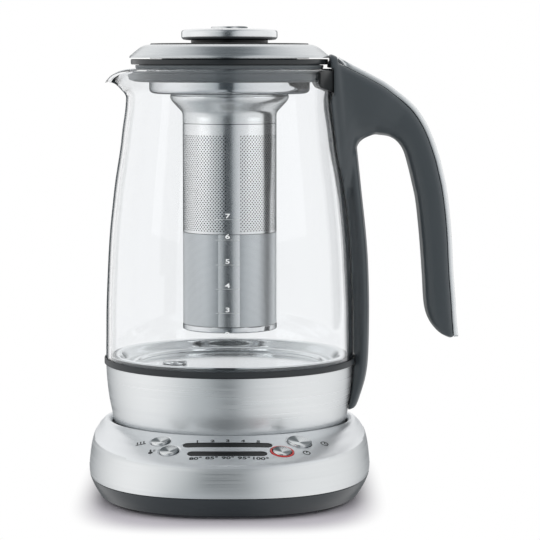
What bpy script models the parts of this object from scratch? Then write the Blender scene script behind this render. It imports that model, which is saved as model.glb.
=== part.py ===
"""Automatic tea maker: a glass kettle with a lift-out tea basket on a round-backed power base.

Metres, +Z up. The origin is the centre of the base's flat underside, on the jug's axis.
-Y is the front, where the panel with the buttons is, and the handle points to +X.
"""

import math

import bmesh
import bpy
from mathutils import Matrix, Vector

# Gaps and cuts shared by all pieces
TOUCH_GAP = 0.0003       # between pieces that touch or slide
CUT_OVERRUN = 0.002      # how far a cutter runs past what it cuts
SMOOTH_ANGLE_DEGREES = 35
ROUND_STEPS = 28         # facets round the jug and the lid
BASE_STEPS = 36          # facets round the base
TUBE_STEPS = 20          # facets round the tea tube, the knob and inner pieces
SMALL_STEPS = 8          # facets round buttons, screws and contacts

# Driving dimensions of the base
BASE_SEAM_HEIGHT = 0.0102     # where the steel shell meets the dark skirt
BASE_RIM_HEIGHT = 0.0383      # rim of the round well
BASE_RIM_RADIUS = 0.0694
PANEL_SIDE = 0.0081  # width of the sloping top beside the well
CREASE_SIDE = BASE_RIM_RADIUS + PANEL_SIDE  # the panel's outer edge, half width
PANEL_DEPTH = 0.0356  # the button panel, in front of it
CREASE_FRONT = BASE_RIM_RADIUS + PANEL_DEPTH
PANEL_BACK = 0.0091
CREASE_BACK = BASE_RIM_RADIUS + PANEL_BACK
CREASE_SIDE_DROP = 0.0074
CREASE_SIDE_HEIGHT = BASE_RIM_HEIGHT - CREASE_SIDE_DROP
CREASE_FRONT_DROP = 0.0109
CREASE_FRONT_HEIGHT = BASE_RIM_HEIGHT - CREASE_FRONT_DROP
CREASE_POWER = 2.35           # squareness of the plan outline
SIDE_FLARE = 0.0024  # how far the wall leans out, down to the seam
SEAM_SIDE = CREASE_SIDE + SIDE_FLARE
FRONT_FLARE = 0.0010
SEAM_FRONT = CREASE_FRONT + FRONT_FLARE
BACK_FLARE = 0.0027
SEAM_BACK = CREASE_BACK + BACK_FLARE
SEAM_POWER = 2.5
BASE_SHEET = 0.0012           # steel shell's thickness
SHELL_BULGE = 0.0011          # how far the side wall bows out
UNDERSIDE_TAPER = 0.0052      # how far the skirt draws in at the bottom
HOUSING_WALL = 0.0025
PLATE_THICKNESS = 0.0025
WELL_DEPTH = 0.0143
TRAY_FLOOR_HEIGHT = BASE_RIM_HEIGHT - WELL_DEPTH
TRAY_WALL = 0.0018

# Driving dimensions of the jug
JUG_FOOT_HEIGHT = TRAY_FLOOR_HEIGHT + TOUCH_GAP
SHELL_SHOWING = 0.0315
SHELL_TOP_HEIGHT = BASE_RIM_HEIGHT + SHELL_SHOWING  # top of the steel heater shell
SHELL_OVERHANG = 0.0018
SHELL_TOP_RADIUS = BASE_RIM_RADIUS + SHELL_OVERHANG
SHELL_SHEET = 0.0012
SEAL_PROUD = 0.0010
SEAL_RADIUS = SHELL_TOP_RADIUS + SEAL_PROUD  # dark ring between steel and glass
SEAL_BAND = 0.0048
SEAL_TOP_HEIGHT = SHELL_TOP_HEIGHT + SEAL_BAND
SEAL_EDGE = 0.0009
GLASS_BOTTOM_RADIUS = SEAL_RADIUS - SEAL_EDGE
GLASS_TAPER = 0.0123
GLASS_NECK_RADIUS = GLASS_BOTTOM_RADIUS - GLASS_TAPER
TUBE_LENGTH = 0.1347           # the tea basket's long tube hangs down the jug
TUBE_FOOT_ROOM = 0.0132
GLASS_BODY = TUBE_LENGTH + TUBE_FOOT_ROOM
GLASS_NECK_HEIGHT = SEAL_TOP_HEIGHT + GLASS_BODY
GLASS_LIP = 0.0160
GLASS_RIM_HEIGHT = GLASS_NECK_HEIGHT + GLASS_LIP
GLASS_WALL = 0.0026
SPOUT_REACH = 0.0118          # how far the lip flares out at the spout
SPOUT_DROP = 0.0070           # how far the lip dips at the spout
SPOUT_HALF_ANGLE_DEGREES = 38

# Driving dimensions of the lid, its cover and the basket
LID_INSET = 0.0028
LID_RADIUS = GLASS_NECK_RADIUS - LID_INSET
LID_RUNNING_GAP = 0.0006      # between the lid and the handle
LID_CLEARANCE = 0.0023
LID_BAND_BOTTOM_HEIGHT = GLASS_RIM_HEIGHT + LID_CLEARANCE
LID_BAND = 0.0031
LID_BAND_TOP_HEIGHT = LID_BAND_BOTTOM_HEIGHT + LID_BAND
LID_SHADOW_GAP = 0.0007
LID_STEEL_HEIGHT = LID_BAND_TOP_HEIGHT + LID_SHADOW_GAP  # lower edge of the steel ring
LID_RING_WIDTH = 0.0112
COVER_RADIUS = LID_RADIUS - LID_RING_WIDTH
LID_RING_RISE = 0.0069
COVER_HEIGHT = LID_STEEL_HEIGHT + LID_RING_RISE
KNOB_RADIUS = 0.0274
DRUM_INSET = 0.0104
DRUM_RADIUS = LID_RADIUS - DRUM_INSET
DRUM_DEPTH = 0.0196
DRUM_BOTTOM_HEIGHT = LID_BAND_TOP_HEIGHT - DRUM_DEPTH
TUBE_RADIUS = 0.0268
TUBE_BOTTOM_HEIGHT = DRUM_BOTTOM_HEIGHT - TUBE_LENGTH


def start_clean():
    for old in list(bpy.data.objects):
        bpy.data.objects.remove(old, do_unlink=True)


def new_collection(name):
    collection = bpy.data.collections.new(name)
    bpy.context.scene.collection.children.link(collection)
    return collection


start_clean()
PARTS = new_collection("tea_maker")
CUTTERS = new_collection("cutters")


def plain_material(name, colour, roughness, metallic=0.0, alpha=1.0):
    material = bpy.data.materials.new(name)
    material.use_nodes = True
    shader = material.node_tree.nodes["Principled BSDF"]
    shader.inputs["Base Color"].default_value = (*colour, 1.0)
    shader.inputs["Roughness"].default_value = roughness
    shader.inputs["Metallic"].default_value = metallic
    shader.inputs["Alpha"].default_value = alpha
    return material


def brushed_steel(name):
    return plain_material(name, (0.62, 0.63, 0.64), 0.30, 1.0)


def polished_steel(name):
    return plain_material(name, (0.70, 0.71, 0.72), 0.12, 1.0)


def dark_plastic(name):
    return plain_material(name, (0.055, 0.066, 0.073), 0.42)


def black_plastic(name):
    return plain_material(name, (0.012, 0.013, 0.014), 0.35)


def grey_silicone(name):
    return plain_material(name, (0.27, 0.30, 0.32), 0.50)


def black_rubber(name):
    return plain_material(name, (0.020, 0.020, 0.022), 0.80)


def aluminium(name):
    return plain_material(name, (0.60, 0.61, 0.62), 0.38, 1.0)


def brass(name):
    return plain_material(name, (0.70, 0.50, 0.22), 0.30, 1.0)


def clear_glass(name):
    return plain_material(name, (0.93, 0.95, 0.95), 0.03, 0.0, 0.30)


def smoke_lens(name):
    return plain_material(name, (0.010, 0.010, 0.012), 0.10)


def board_green(name):
    return plain_material(name, (0.02, 0.12, 0.05), 0.50)


def lamp_red(name):
    return plain_material(name, (0.60, 0.015, 0.012), 0.30)


def lamp_white(name):
    return plain_material(name, (0.80, 0.80, 0.78), 0.40)


def add_piece(name, mesh, material):
    """Put a mesh in the object as one named sub-part with its own material."""
    piece = bpy.data.objects.new(name, mesh)
    mesh.materials.append(material(name))
    PARTS.objects.link(piece)
    mesh.shade_smooth()
    mesh.set_sharp_from_angle(angle=math.radians(SMOOTH_ANGLE_DEGREES))
    return piece


def add_cutter(name, mesh):
    cutter = bpy.data.objects.new(name, mesh)
    cutter.hide_render = True
    cutter.display_type = "WIRE"
    CUTTERS.objects.link(cutter)
    return cutter


def boolean(piece, cutter, operation="DIFFERENCE"):
    modifier = piece.modifiers.new(cutter.name, "BOOLEAN")
    modifier.operation = operation
    modifier.solver = "EXACT"
    modifier.object = cutter


def mesh_from(name, bm):
    mesh = bpy.data.meshes.new(name)
    bm.to_mesh(mesh)
    bm.free()
    return mesh


def profile_mesh(name, points, closed):
    """An edge loop in the XZ plane, from (radius, height) points."""
    bm = bmesh.new()
    verts = [bm.verts.new((radius, 0.0, height)) for radius, height in points]
    for first, second in zip(verts, verts[1:]):
        bm.edges.new((first, second))
    if closed:
        bm.edges.new((verts[-1], verts[0]))
    return mesh_from(name, bm)


def screw(piece, steps):
    modifier = piece.modifiers.new("turn", "SCREW")
    modifier.axis = "Z"
    modifier.steps = steps
    modifier.render_steps = steps
    modifier.use_merge_vertices = True
    modifier.merge_threshold = 0.00001
    modifier.use_smooth_shade = True


def turned(name, points, material, steps=ROUND_STEPS, closed=True):
    """A turned piece. The section runs down its outer side, then back up the inside."""
    piece = add_piece(name, profile_mesh(name, points, closed), material)
    screw(piece, steps)
    return piece


def turned_cutter(name, points, steps=ROUND_STEPS, closed=True):
    cutter = add_cutter(name, profile_mesh(name, points, closed))
    screw(cutter, steps)
    return cutter


def offset_path(path, distance):
    """Move a path of (radius, height) points to its inner side, the left of a downward run."""
    moved = []
    for index, point in enumerate(path):
        before = path[max(index - 1, 0)]
        after = path[min(index + 1, len(path) - 1)]
        steps = []
        for start, end in ((before, point), (point, after)):
            run = Vector((end[0] - start[0], end[1] - start[1]))
            if run.length:
                steps.append(Vector((run.y, -run.x)).normalized())
        normal = sum(steps, Vector((0.0, 0.0))).normalized()
        reach = distance / max(normal.dot(steps[0]), 0.5)
        moved.append((point[0] + normal.x * reach, point[1] + normal.y * reach))
    return moved


def sheet_section(path, wall):
    """A closed section of even wall from the path of its outer side."""
    return list(path) + offset_path(path, wall)[::-1]


def between(low, high, share):
    return low + (high - low) * share


def loft_mesh(name, rings, closed=False, capped=False):
    """Skin a list of rings of equal count, which run down the outer side of a round form."""
    bm = bmesh.new()
    rows = [[bm.verts.new(point) for point in ring] for ring in rings]
    pairs = list(zip(rows, rows[1:]))
    if closed:
        pairs.append((rows[-1], rows[0]))
    for upper, lower in pairs:
        for index in range(len(upper)):
            after = (index + 1) % len(upper)
            bm.faces.new((upper[index], lower[index], lower[after], upper[after]))
    if capped:
        bm.faces.new(rows[0])
        bm.faces.new(rows[-1][::-1])
    if closed or capped:
        bmesh.ops.recalc_face_normals(bm, faces=bm.faces[:])
    return mesh_from(name, bm)


def cylinder_into(bm, radius, low, high, place=None, steps=SMALL_STEPS):
    """Add a cylinder between two heights, then move it to its place."""
    made = bmesh.ops.create_cone(
        bm, cap_ends=True, segments=steps, radius1=radius, radius2=radius, depth=high - low)
    bmesh.ops.translate(bm, verts=made["verts"], vec=(0.0, 0.0, (low + high) / 2))
    bmesh.ops.transform(bm, matrix=place or Matrix(), verts=made["verts"])


def box_into(bm, size, centre, place=None):
    made = bmesh.ops.create_cube(bm, size=1.0)
    bmesh.ops.scale(bm, vec=size, verts=made["verts"])
    bmesh.ops.translate(bm, verts=made["verts"], vec=centre)
    bmesh.ops.transform(bm, matrix=place or Matrix(), verts=made["verts"])


def spin_into(bm, points, place=None, steps=SMALL_STEPS):
    """Add a small turned solid whose section starts and ends on the axis, top to bottom."""
    verts = [bm.verts.new((radius, 0.0, height)) for radius, height in points]
    edges = [bm.edges.new(pair) for pair in zip(verts, verts[1:])]
    made = bmesh.ops.spin(
        bm, geom=verts + edges, cent=(0.0, 0.0, 0.0), axis=(0.0, 0.0, 1.0),
        angle=math.tau, steps=steps, use_merge=True)
    bm.verts.ensure_lookup_table()
    grown = [vert for vert in bm.verts if not vert.tag]
    bmesh.ops.remove_doubles(bm, verts=grown, dist=0.00001)
    grown = [vert for vert in bm.verts if not vert.tag]
    bmesh.ops.transform(bm, matrix=place or Matrix(), verts=grown)
    for vert in grown:
        vert.tag = True
    return made


def series(name, material, places, add):
    """Like pieces, each its own sub-part, numbered in order."""
    pieces = []
    for index, place in enumerate(places):
        bm = bmesh.new()
        add(bm, place)
        bmesh.ops.recalc_face_normals(bm, faces=bm.faces[:])
        numbered = f"{name}_{index + 1}"
        pieces.append(add_piece(numbered, mesh_from(numbered, bm), material))
    return pieces


def group_cutter(name, places, add):
    """Several shapes used as one cutter, or as one addition to a piece."""
    bm = bmesh.new()
    for place in places:
        add(bm, place)
    bmesh.ops.recalc_face_normals(bm, faces=bm.faces[:])
    return add_cutter(name, mesh_from(name, bm))


def ring_places(radius, count, start_degrees=0.0):
    """Places round the Z axis, each with its own X pointing outwards."""
    places = []
    for index in range(count):
        turn = Matrix.Rotation(math.radians(start_degrees) + math.tau * index / count, 4, "Z")
        places.append(turn @ Matrix.Translation((radius, 0.0, 0.0)))
    return places


# The base's form: a round well in a plan that squares off and reaches out to the front

PANEL_OUT_SHARES = (0.0, 0.38, 0.72, 1.0)
PANEL_SIDE_DROP_SHARES = (0.0, 0.11, 0.51, 1.0)
WALL_DOWN_SHARES = (0.21, 0.45, 0.81, 1.0)
WALL_BULGE_SHARES = (0.80, 1.0, 0.87, 0.0)


def base_azimuths():
    """Angles round the base from the front, -Y, towards +X."""
    return [math.tau * index / BASE_STEPS for index in range(BASE_STEPS)]


def plan_radius(azimuth, side, front, back, power):
    depth = front if math.cos(azimuth) > 0 else back
    across = abs(math.sin(azimuth)) / side
    along = abs(math.cos(azimuth)) / depth
    return (across ** power + along ** power) ** (-1 / power)


def frontness(azimuth):
    return max(math.cos(azimuth), 0.0) ** 2


def crease_radius(azimuth):
    return plan_radius(azimuth, CREASE_SIDE, CREASE_FRONT, CREASE_BACK, CREASE_POWER)


def crease_height(azimuth):
    return between(CREASE_SIDE_HEIGHT, CREASE_FRONT_HEIGHT, frontness(azimuth))


def seam_radius(azimuth):
    return plan_radius(azimuth, SEAM_SIDE, SEAM_FRONT, SEAM_BACK, SEAM_POWER)


def at_azimuth(azimuth, radius, height):
    return (radius * math.sin(azimuth), -radius * math.cos(azimuth), height)


def base_ring(radius_of, height_of):
    return [at_azimuth(angle, radius_of(angle), height_of(angle)) for angle in base_azimuths()]


def seam_ring(inset, height):
    """A ring at one height, drawn in from the outline at the seam."""
    return base_ring(lambda angle: seam_radius(angle) - inset, lambda angle: height)


def panel_drop(out, azimuth):
    """How far down the panel is at a share of the way out: straight in front, rounded at the sides."""
    side = out
    spans = zip(PANEL_OUT_SHARES, PANEL_OUT_SHARES[1:], PANEL_SIDE_DROP_SHARES, PANEL_SIDE_DROP_SHARES[1:])
    for out_low, out_high, drop_low, drop_high in spans:
        if out_low <= out <= out_high:
            side = between(drop_low, drop_high, (out - out_low) / (out_high - out_low))
    return between(side, out, frontness(azimuth))


def panel_ring(out):
    def radius_of(angle):
        return between(BASE_RIM_RADIUS, crease_radius(angle), out)

    def height_of(angle):
        return between(BASE_RIM_HEIGHT, crease_height(angle), panel_drop(out, angle))

    return base_ring(radius_of, height_of)


def wall_ring(down, bulge):
    def radius_of(angle):
        return between(crease_radius(angle), seam_radius(angle), down) + SHELL_BULGE * bulge

    def height_of(angle):
        return between(crease_height(angle), BASE_SEAM_HEIGHT, down)

    return base_ring(radius_of, height_of)


def panel_point(x, y):
    """The point of the panel's surface above a place in plan."""
    azimuth = math.atan2(x, -y)
    out = (math.hypot(x, y) - BASE_RIM_RADIUS) / (crease_radius(azimuth) - BASE_RIM_RADIUS)
    height = between(BASE_RIM_HEIGHT, crease_height(azimuth), panel_drop(out, azimuth))
    return Vector((x, y, height))


NORMAL_STEP = 0.001     # spacing used to find the panel's slope


def panel_normal(x, y):
    across = panel_point(x + NORMAL_STEP, y) - panel_point(x - NORMAL_STEP, y)
    along = panel_point(x, y + NORMAL_STEP) - panel_point(x, y - NORMAL_STEP)
    return across.cross(along).normalized()


def place_on(point, normal):
    """A frame with its origin at a point and its Z along a normal."""
    right = Vector((0.0, 1.0, 0.0)).cross(normal).normalized()
    turn = Matrix((right, normal.cross(right), normal)).transposed().to_4x4()
    return Matrix.Translation(point) @ turn


# Base cover: the brushed steel shell, with the down-turned rim of the well

RIM_FLANGE_DEPTH = 0.0032


def base_cover():
    flange = base_ring(lambda angle: BASE_RIM_RADIUS, lambda angle: BASE_RIM_HEIGHT - RIM_FLANGE_DEPTH)
    rings = [flange]
    rings += [panel_ring(out) for out in PANEL_OUT_SHARES]
    rings += [wall_ring(*shares) for shares in zip(WALL_DOWN_SHARES, WALL_BULGE_SHARES)]
    piece = add_piece("base_cover", loft_mesh("base_cover", rings), brushed_steel)
    sheet = piece.modifiers.new("sheet", "SOLIDIFY")
    sheet.thickness = BASE_SHEET
    sheet.offset = -1.0
    sheet.use_even_offset = True
    return piece


COVER = base_cover()


# Housing and bottom plate: the moulded tub that carries the steel shell and the works

SKIRT_MID_HEIGHT = 0.0045
SKIRT_MID_SHARE = 0.45
LIP_HEIGHT = 0.0035           # lip that locates the steel shell
LIP_WALL = 0.0018
LEDGE_WIDTH = 0.0050          # ledge that the bottom plate is screwed to
LEDGE_THICKNESS = 0.0020


def base_housing():
    lip_inset = BASE_SHEET + TOUCH_GAP
    bottom_inset = UNDERSIDE_TAPER + HOUSING_WALL
    ledge_bottom = PLATE_THICKNESS + TOUCH_GAP
    ledge_top = ledge_bottom + LEDGE_THICKNESS
    seat = BASE_SEAM_HEIGHT - TOUCH_GAP
    rings = [
        seam_ring(lip_inset, BASE_SEAM_HEIGHT + LIP_HEIGHT),
        seam_ring(lip_inset, seat),
        seam_ring(0.0, seat),
        seam_ring(UNDERSIDE_TAPER * SKIRT_MID_SHARE, SKIRT_MID_HEIGHT),
        seam_ring(UNDERSIDE_TAPER, 0.0),
        seam_ring(bottom_inset, 0.0),
        seam_ring(bottom_inset, ledge_bottom),
        seam_ring(bottom_inset + LEDGE_WIDTH, ledge_bottom),
        seam_ring(bottom_inset + LEDGE_WIDTH, ledge_top),
        seam_ring(UNDERSIDE_TAPER * SKIRT_MID_SHARE + HOUSING_WALL, ledge_top),
        seam_ring(lip_inset + LIP_WALL, BASE_SEAM_HEIGHT),
        seam_ring(lip_inset + LIP_WALL, BASE_SEAM_HEIGHT + LIP_HEIGHT),
    ]
    return add_piece("base_housing", loft_mesh("base_housing", rings, closed=True), dark_plastic)


def base_plate():
    inset = UNDERSIDE_TAPER + HOUSING_WALL + TOUCH_GAP
    rings = [seam_ring(inset, PLATE_THICKNESS), seam_ring(inset, 0.0)]
    return add_piece("base_plate", loft_mesh("base_plate", rings, capped=True), dark_plastic)


HOUSING = base_housing()
PLATE = base_plate()


# Base screws: pan heads sunk in the plate, shanks through the ledge

BASE_SCREW_AZIMUTHS_DEGREES = (-75, 75)
SCREW_HEAD_RADIUS = 0.0030
SCREW_HEAD_HEIGHT = 0.0015
SCREW_SHANK_RADIUS = 0.0015
SCREW_LENGTH = 0.0075
SCREW_RECESS = 0.0003         # head below the surface


def base_screw_places():
    inset = UNDERSIDE_TAPER + HOUSING_WALL + LEDGE_WIDTH / 2
    places = []
    for degrees in BASE_SCREW_AZIMUTHS_DEGREES:
        angle = math.radians(degrees)
        places.append(Matrix.Translation(at_azimuth(angle, seam_radius(angle) - inset, 0.0)))
    return places


def screw_points(head_low, length=SCREW_LENGTH):
    """A screw whose head is at the bottom, from its tip down."""
    head_high = head_low + SCREW_HEAD_HEIGHT
    return [(0.0, head_low + length), (SCREW_SHANK_RADIUS, head_low + length),
            (SCREW_SHANK_RADIUS, head_high), (SCREW_HEAD_RADIUS, head_high),
            (SCREW_HEAD_RADIUS, head_low), (0.0, head_low)]


def screw_hole_points(head_low, length=SCREW_LENGTH):
    """The stepped hole for such a screw, open below."""
    head_high = head_low + SCREW_HEAD_HEIGHT + TOUCH_GAP
    shank = SCREW_SHANK_RADIUS + TOUCH_GAP
    head = SCREW_HEAD_RADIUS + TOUCH_GAP
    return [(0.0, head_low + length + TOUCH_GAP), (shank, head_low + length + TOUCH_GAP),
            (shank, head_high), (head, head_high),
            (head, head_low - CUT_OVERRUN), (0.0, head_low - CUT_OVERRUN)]


def base_screws():
    places = base_screw_places()
    series("base_screw", polished_steel, places,
           lambda bm, place: spin_into(bm, screw_points(SCREW_RECESS), place))
    holes = group_cutter("base_screw_holes", places,
                         lambda bm, place: spin_into(bm, screw_hole_points(SCREW_RECESS), place))
    boolean(PLATE, holes)
    boolean(HOUSING, holes)


base_screws()


# Feet: four long rubber pads under the plate

FOOT_AZIMUTHS_DEGREES = (-40, 40, 142, -142)
FOOT_HEIGHT = 0.0020
FOOT_LENGTH = 0.0280
FOOT_WIDTH = 0.0080
FOOT_INSET = 0.0095           # from the outline at the seam to the pad
FOOT_STATIONS = 5


def foot_into(bm, azimuth):
    rows = []
    radius = seam_radius(azimuth)
    for index in range(FOOT_STATIONS):
        angle = azimuth + (index / (FOOT_STATIONS - 1) - 0.5) * FOOT_LENGTH / radius
        outer = seam_radius(angle) - FOOT_INSET
        inner = outer - FOOT_WIDTH
        corners = ((inner, -TOUCH_GAP), (outer, -TOUCH_GAP), (outer, -FOOT_HEIGHT), (inner, -FOOT_HEIGHT))
        rows.append([bm.verts.new(at_azimuth(angle, *corner)) for corner in corners])
    for first, second in zip(rows, rows[1:]):
        for corner in range(len(first)):
            after = (corner + 1) % len(first)
            bm.faces.new((first[corner], second[corner], second[after], first[after]))
    bm.faces.new(rows[0])
    bm.faces.new(rows[-1][::-1])


series("base_foot", black_rubber, [math.radians(degrees) for degrees in FOOT_AZIMUTHS_DEGREES], foot_into)


# Cord gland: a plain tube through the back of the skirt

GLAND_HEIGHT = 0.0062
GLAND_RADIUS = 0.0029
GLAND_BORE = 0.0021
GLAND_FLANGE = 0.0007
GLAND_FLANGE_LENGTH = 0.0012
GLAND_INNER_LENGTH = 0.0085


def cord_gland():
    wall = SEAM_BACK
    outside = wall + GLAND_FLANGE_LENGTH
    inside = wall - GLAND_INNER_LENGTH
    flange_start = wall + TOUCH_GAP
    section = [(GLAND_RADIUS + GLAND_FLANGE, outside), (GLAND_RADIUS + GLAND_FLANGE, flange_start),
               (GLAND_RADIUS, flange_start), (GLAND_RADIUS, inside), (GLAND_BORE, inside),
               (GLAND_BORE, outside)]
    piece = turned("cord_gland", section, black_rubber, SMALL_STEPS)
    hole = turned_cutter("cord_gland_hole", [
        (0.0, wall + CUT_OVERRUN), (GLAND_RADIUS + TOUCH_GAP, wall + CUT_OVERRUN),
        (GLAND_RADIUS + TOUCH_GAP, inside - CUT_OVERRUN), (0.0, inside - CUT_OVERRUN)],
        SMALL_STEPS, closed=False)
    for item in (piece, hole):
        item.location = (0.0, 0.0, GLAND_HEIGHT)
        item.rotation_euler = (-math.pi / 2, 0.0, 0.0)
    boolean(HOUSING, hole)


cord_gland()


# Well: the tray that the jug stands in, the connector post and the pillars under it

TRAY_SLOPE = 0.0069
TRAY_FLOOR_RADIUS = BASE_RIM_RADIUS - TRAY_SLOPE
POST_RADIUS = 0.0140
POST_RISE = 0.0140
POST_HEIGHT = TRAY_FLOOR_HEIGHT + POST_RISE
POST_FLANGE_RADIUS = 0.0240
POST_FLANGE_THICKNESS = 0.0020
PIN_HOLE_RADIUS = 0.0036
PIN_HOLE_DEPTH = 0.0090
GROOVE_INNER_RADIUS = 0.0074
GROOVE_OUTER_RADIUS = 0.0096
GROOVE_DEPTH = 0.0060
CONTACT_WALL = 0.0012
CONTACT_RECESS = 0.0010       # contacts below the post's top
PILLAR_RADIUS = 0.0040
PILLAR_CIRCLE = 0.0450


def base_tray():
    top = BASE_RIM_HEIGHT - RIM_FLANGE_DEPTH - TOUCH_GAP
    under = TRAY_FLOOR_HEIGHT - TRAY_WALL
    hole = POST_RADIUS + TOUCH_GAP
    turned("base_tray", [
        (BASE_RIM_RADIUS + TRAY_WALL, top), (TRAY_FLOOR_RADIUS + TRAY_WALL, under), (hole, under),
        (hole, TRAY_FLOOR_HEIGHT), (TRAY_FLOOR_RADIUS, TRAY_FLOOR_HEIGHT), (BASE_RIM_RADIUS, top)],
        dark_plastic)


def power_connector():
    under_tray = TRAY_FLOOR_HEIGHT - TRAY_WALL - TOUCH_GAP
    turned("power_connector_post", [
        (0.0, POST_HEIGHT - PIN_HOLE_DEPTH), (PIN_HOLE_RADIUS, POST_HEIGHT - PIN_HOLE_DEPTH),
        (PIN_HOLE_RADIUS, POST_HEIGHT), (GROOVE_INNER_RADIUS, POST_HEIGHT),
        (GROOVE_INNER_RADIUS, POST_HEIGHT - GROOVE_DEPTH), (GROOVE_OUTER_RADIUS, POST_HEIGHT - GROOVE_DEPTH),
        (GROOVE_OUTER_RADIUS, POST_HEIGHT), (POST_RADIUS, POST_HEIGHT), (POST_RADIUS, under_tray),
        (POST_FLANGE_RADIUS, under_tray), (POST_FLANGE_RADIUS, under_tray - POST_FLANGE_THICKNESS),
        (0.0, under_tray - POST_FLANGE_THICKNESS)], black_plastic, closed=False)


def contact(name, outer, depth):
    """A sprung brass ring, shown as a plain sleeve in its groove."""
    high = POST_HEIGHT - CONTACT_RECESS
    low = POST_HEIGHT - depth + TOUCH_GAP
    turned(name, [(outer, high), (outer, low), (outer - CONTACT_WALL, low), (outer - CONTACT_WALL, high)],
           brass, SMALL_STEPS * 2)


def well_pillars():
    """Pillars moulded on the bottom plate, under the well."""
    top = TRAY_FLOOR_HEIGHT - TRAY_WALL - TOUCH_GAP
    root = PLATE_THICKNESS / 2
    pillars = group_cutter("well_pillars", ring_places(PILLAR_CIRCLE, 3, 90),
                           lambda bm, place: cylinder_into(bm, PILLAR_RADIUS, root, top, place))
    boolean(PLATE, pillars, "UNION")


base_tray()
power_connector()
contact("power_contact_sleeve", PIN_HOLE_RADIUS - TOUCH_GAP, PIN_HOLE_DEPTH)
contact("power_contact_ring", GROOVE_OUTER_RADIUS - TOUCH_GAP, GROOVE_DEPTH)
well_pillars()


# Control board: parallel to the panel, below it, on four posts

BOARD_DEPTH = 0.0110          # from the panel's face to the board
BOARD_THICKNESS = 0.0016
BOARD_HALF_WIDTH = 0.0420
BOARD_SETBACK = 0.0155
BOARD_FRONT = CREASE_FRONT - BOARD_SETBACK  # its edges, measured forward from the axis
BOARD_TUCK = 0.0074
BOARD_REAR = BASE_RIM_RADIUS - BOARD_TUCK
BOARD_NOTCH_RADIUS = BASE_RIM_RADIUS + TRAY_WALL + TOUCH_GAP
BOARD_POST_RADIUS = 0.0025
BOARD_POST_ACROSS = 0.0300
BOARD_POST_INSET = 0.0075
BOARD_POST_FRONT = BOARD_FRONT - BOARD_POST_INSET
BOARD_POST_CLEARANCE = 0.0041
BOARD_POST_REAR = BASE_RIM_RADIUS + BOARD_POST_CLEARANCE
PANEL_OUT = 0.0146
PANEL_FORWARD = BASE_RIM_RADIUS + PANEL_OUT
PANEL_CENTRE = -PANEL_FORWARD


def board_frame():
    normal = panel_normal(0.0, PANEL_CENTRE)
    return place_on(panel_point(0.0, PANEL_CENTRE) - normal * BOARD_DEPTH, normal)


BOARD_FRAME = board_frame()
BOARD_NORMAL = BOARD_FRAME.col[2].to_3d()
BOARD_SLOPE = math.acos(BOARD_NORMAL.z)


def on_board(x, y):
    """The point straight under the panel's point, along the panel's normal, on the board."""
    point = panel_point(x, y)
    normal = panel_normal(x, y)
    distance = (point - BOARD_FRAME.translation).dot(BOARD_NORMAL) / normal.dot(BOARD_NORMAL)
    return point - normal * distance, distance


def control_board():
    middle = -(BOARD_FRONT + BOARD_REAR) / 2
    length = (BOARD_FRONT - BOARD_REAR) / math.cos(BOARD_SLOPE)
    offset = (middle - BOARD_FRAME.translation.y) / math.cos(BOARD_SLOPE)
    bm = bmesh.new()
    box_into(bm, (2 * BOARD_HALF_WIDTH, length, BOARD_THICKNESS),
             (0.0, offset, -BOARD_THICKNESS / 2), BOARD_FRAME)
    piece = add_piece("control_board", mesh_from("control_board", bm), board_green)
    notch = bmesh.new()
    cylinder_into(notch, BOARD_NOTCH_RADIUS, 0.0, BASE_RIM_HEIGHT, steps=ROUND_STEPS)
    boolean(piece, add_cutter("board_notch", mesh_from("board_notch", notch)))


def board_supports():
    """Posts moulded on the bottom plate, cut to the board's slope."""
    places = [Matrix.Translation((side * BOARD_POST_ACROSS, -forward, 0.0))
              for side in (-1, 1) for forward in (BOARD_POST_FRONT, BOARD_POST_REAR)]
    posts = group_cutter("board_posts", places, lambda bm, place: cylinder_into(
        bm, BOARD_POST_RADIUS, PLATE_THICKNESS / 2, BASE_RIM_HEIGHT, place, SMALL_STEPS))
    bm = bmesh.new()
    under = -BOARD_THICKNESS - TOUCH_GAP * 2
    box_into(bm, (3 * BOARD_FRONT, 3 * BOARD_FRONT, BASE_RIM_HEIGHT),
             (0.0, 0.0, under + BASE_RIM_HEIGHT / 2), BOARD_FRAME)
    boolean(posts, add_cutter("board_underside", mesh_from("board_underside", bm)))
    boolean(PLATE, posts, "UNION")


control_board()
board_supports()


# Buttons: round caps held by a flange under the steel shell, each over its own switch

BUTTON_RADIUS = 0.0053
TIMER_BUTTON_RADIUS = 0.0068
BUTTON_PROUD = 0.0008
BUTTON_EDGE = 0.0005
BUTTON_TRAVEL = 0.0006
DISH_WIDTH = 0.0011           # shallow ring pressed in the panel round a button
DISH_DEPTH = 0.0005
FLANGE_CLEARANCE = 0.0006     # flange below the shell's inner face
FLANGE_WIDTH = 0.0009
FLANGE_THICKNESS = 0.0010
STEM_RADIUS = 0.0015
SWITCH_RADIUS = 0.0042        # across half its corners
SWITCH_BODY_HEIGHT = 0.0035
SWITCH_HEIGHT = 0.0043
PLUNGER_RADIUS = 0.0017
KEEP_WARM_ACROSS = 0.0368     # places on the panel, from the jug's axis
KEEP_WARM_OUT = 0.0014
KEEP_WARM_FORWARD = BASE_RIM_RADIUS + KEEP_WARM_OUT
TEMPERATURE_ACROSS = 0.0316
TEMPERATURE_OUT = 0.0143
TEMPERATURE_FORWARD = BASE_RIM_RADIUS + TEMPERATURE_OUT
TIMER_ACROSS = 0.0393
TIMER_OUT = 0.0013
TIMER_FORWARD = BASE_RIM_RADIUS + TIMER_OUT
START_ACROSS = 0.0297
START_OUT = 0.0155
START_FORWARD = BASE_RIM_RADIUS + START_OUT
KEEP_WARM_PLACE = (-KEEP_WARM_ACROSS, -KEEP_WARM_FORWARD)
TEMPERATURE_PLACE = (-TEMPERATURE_ACROSS, -TEMPERATURE_FORWARD)
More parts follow.
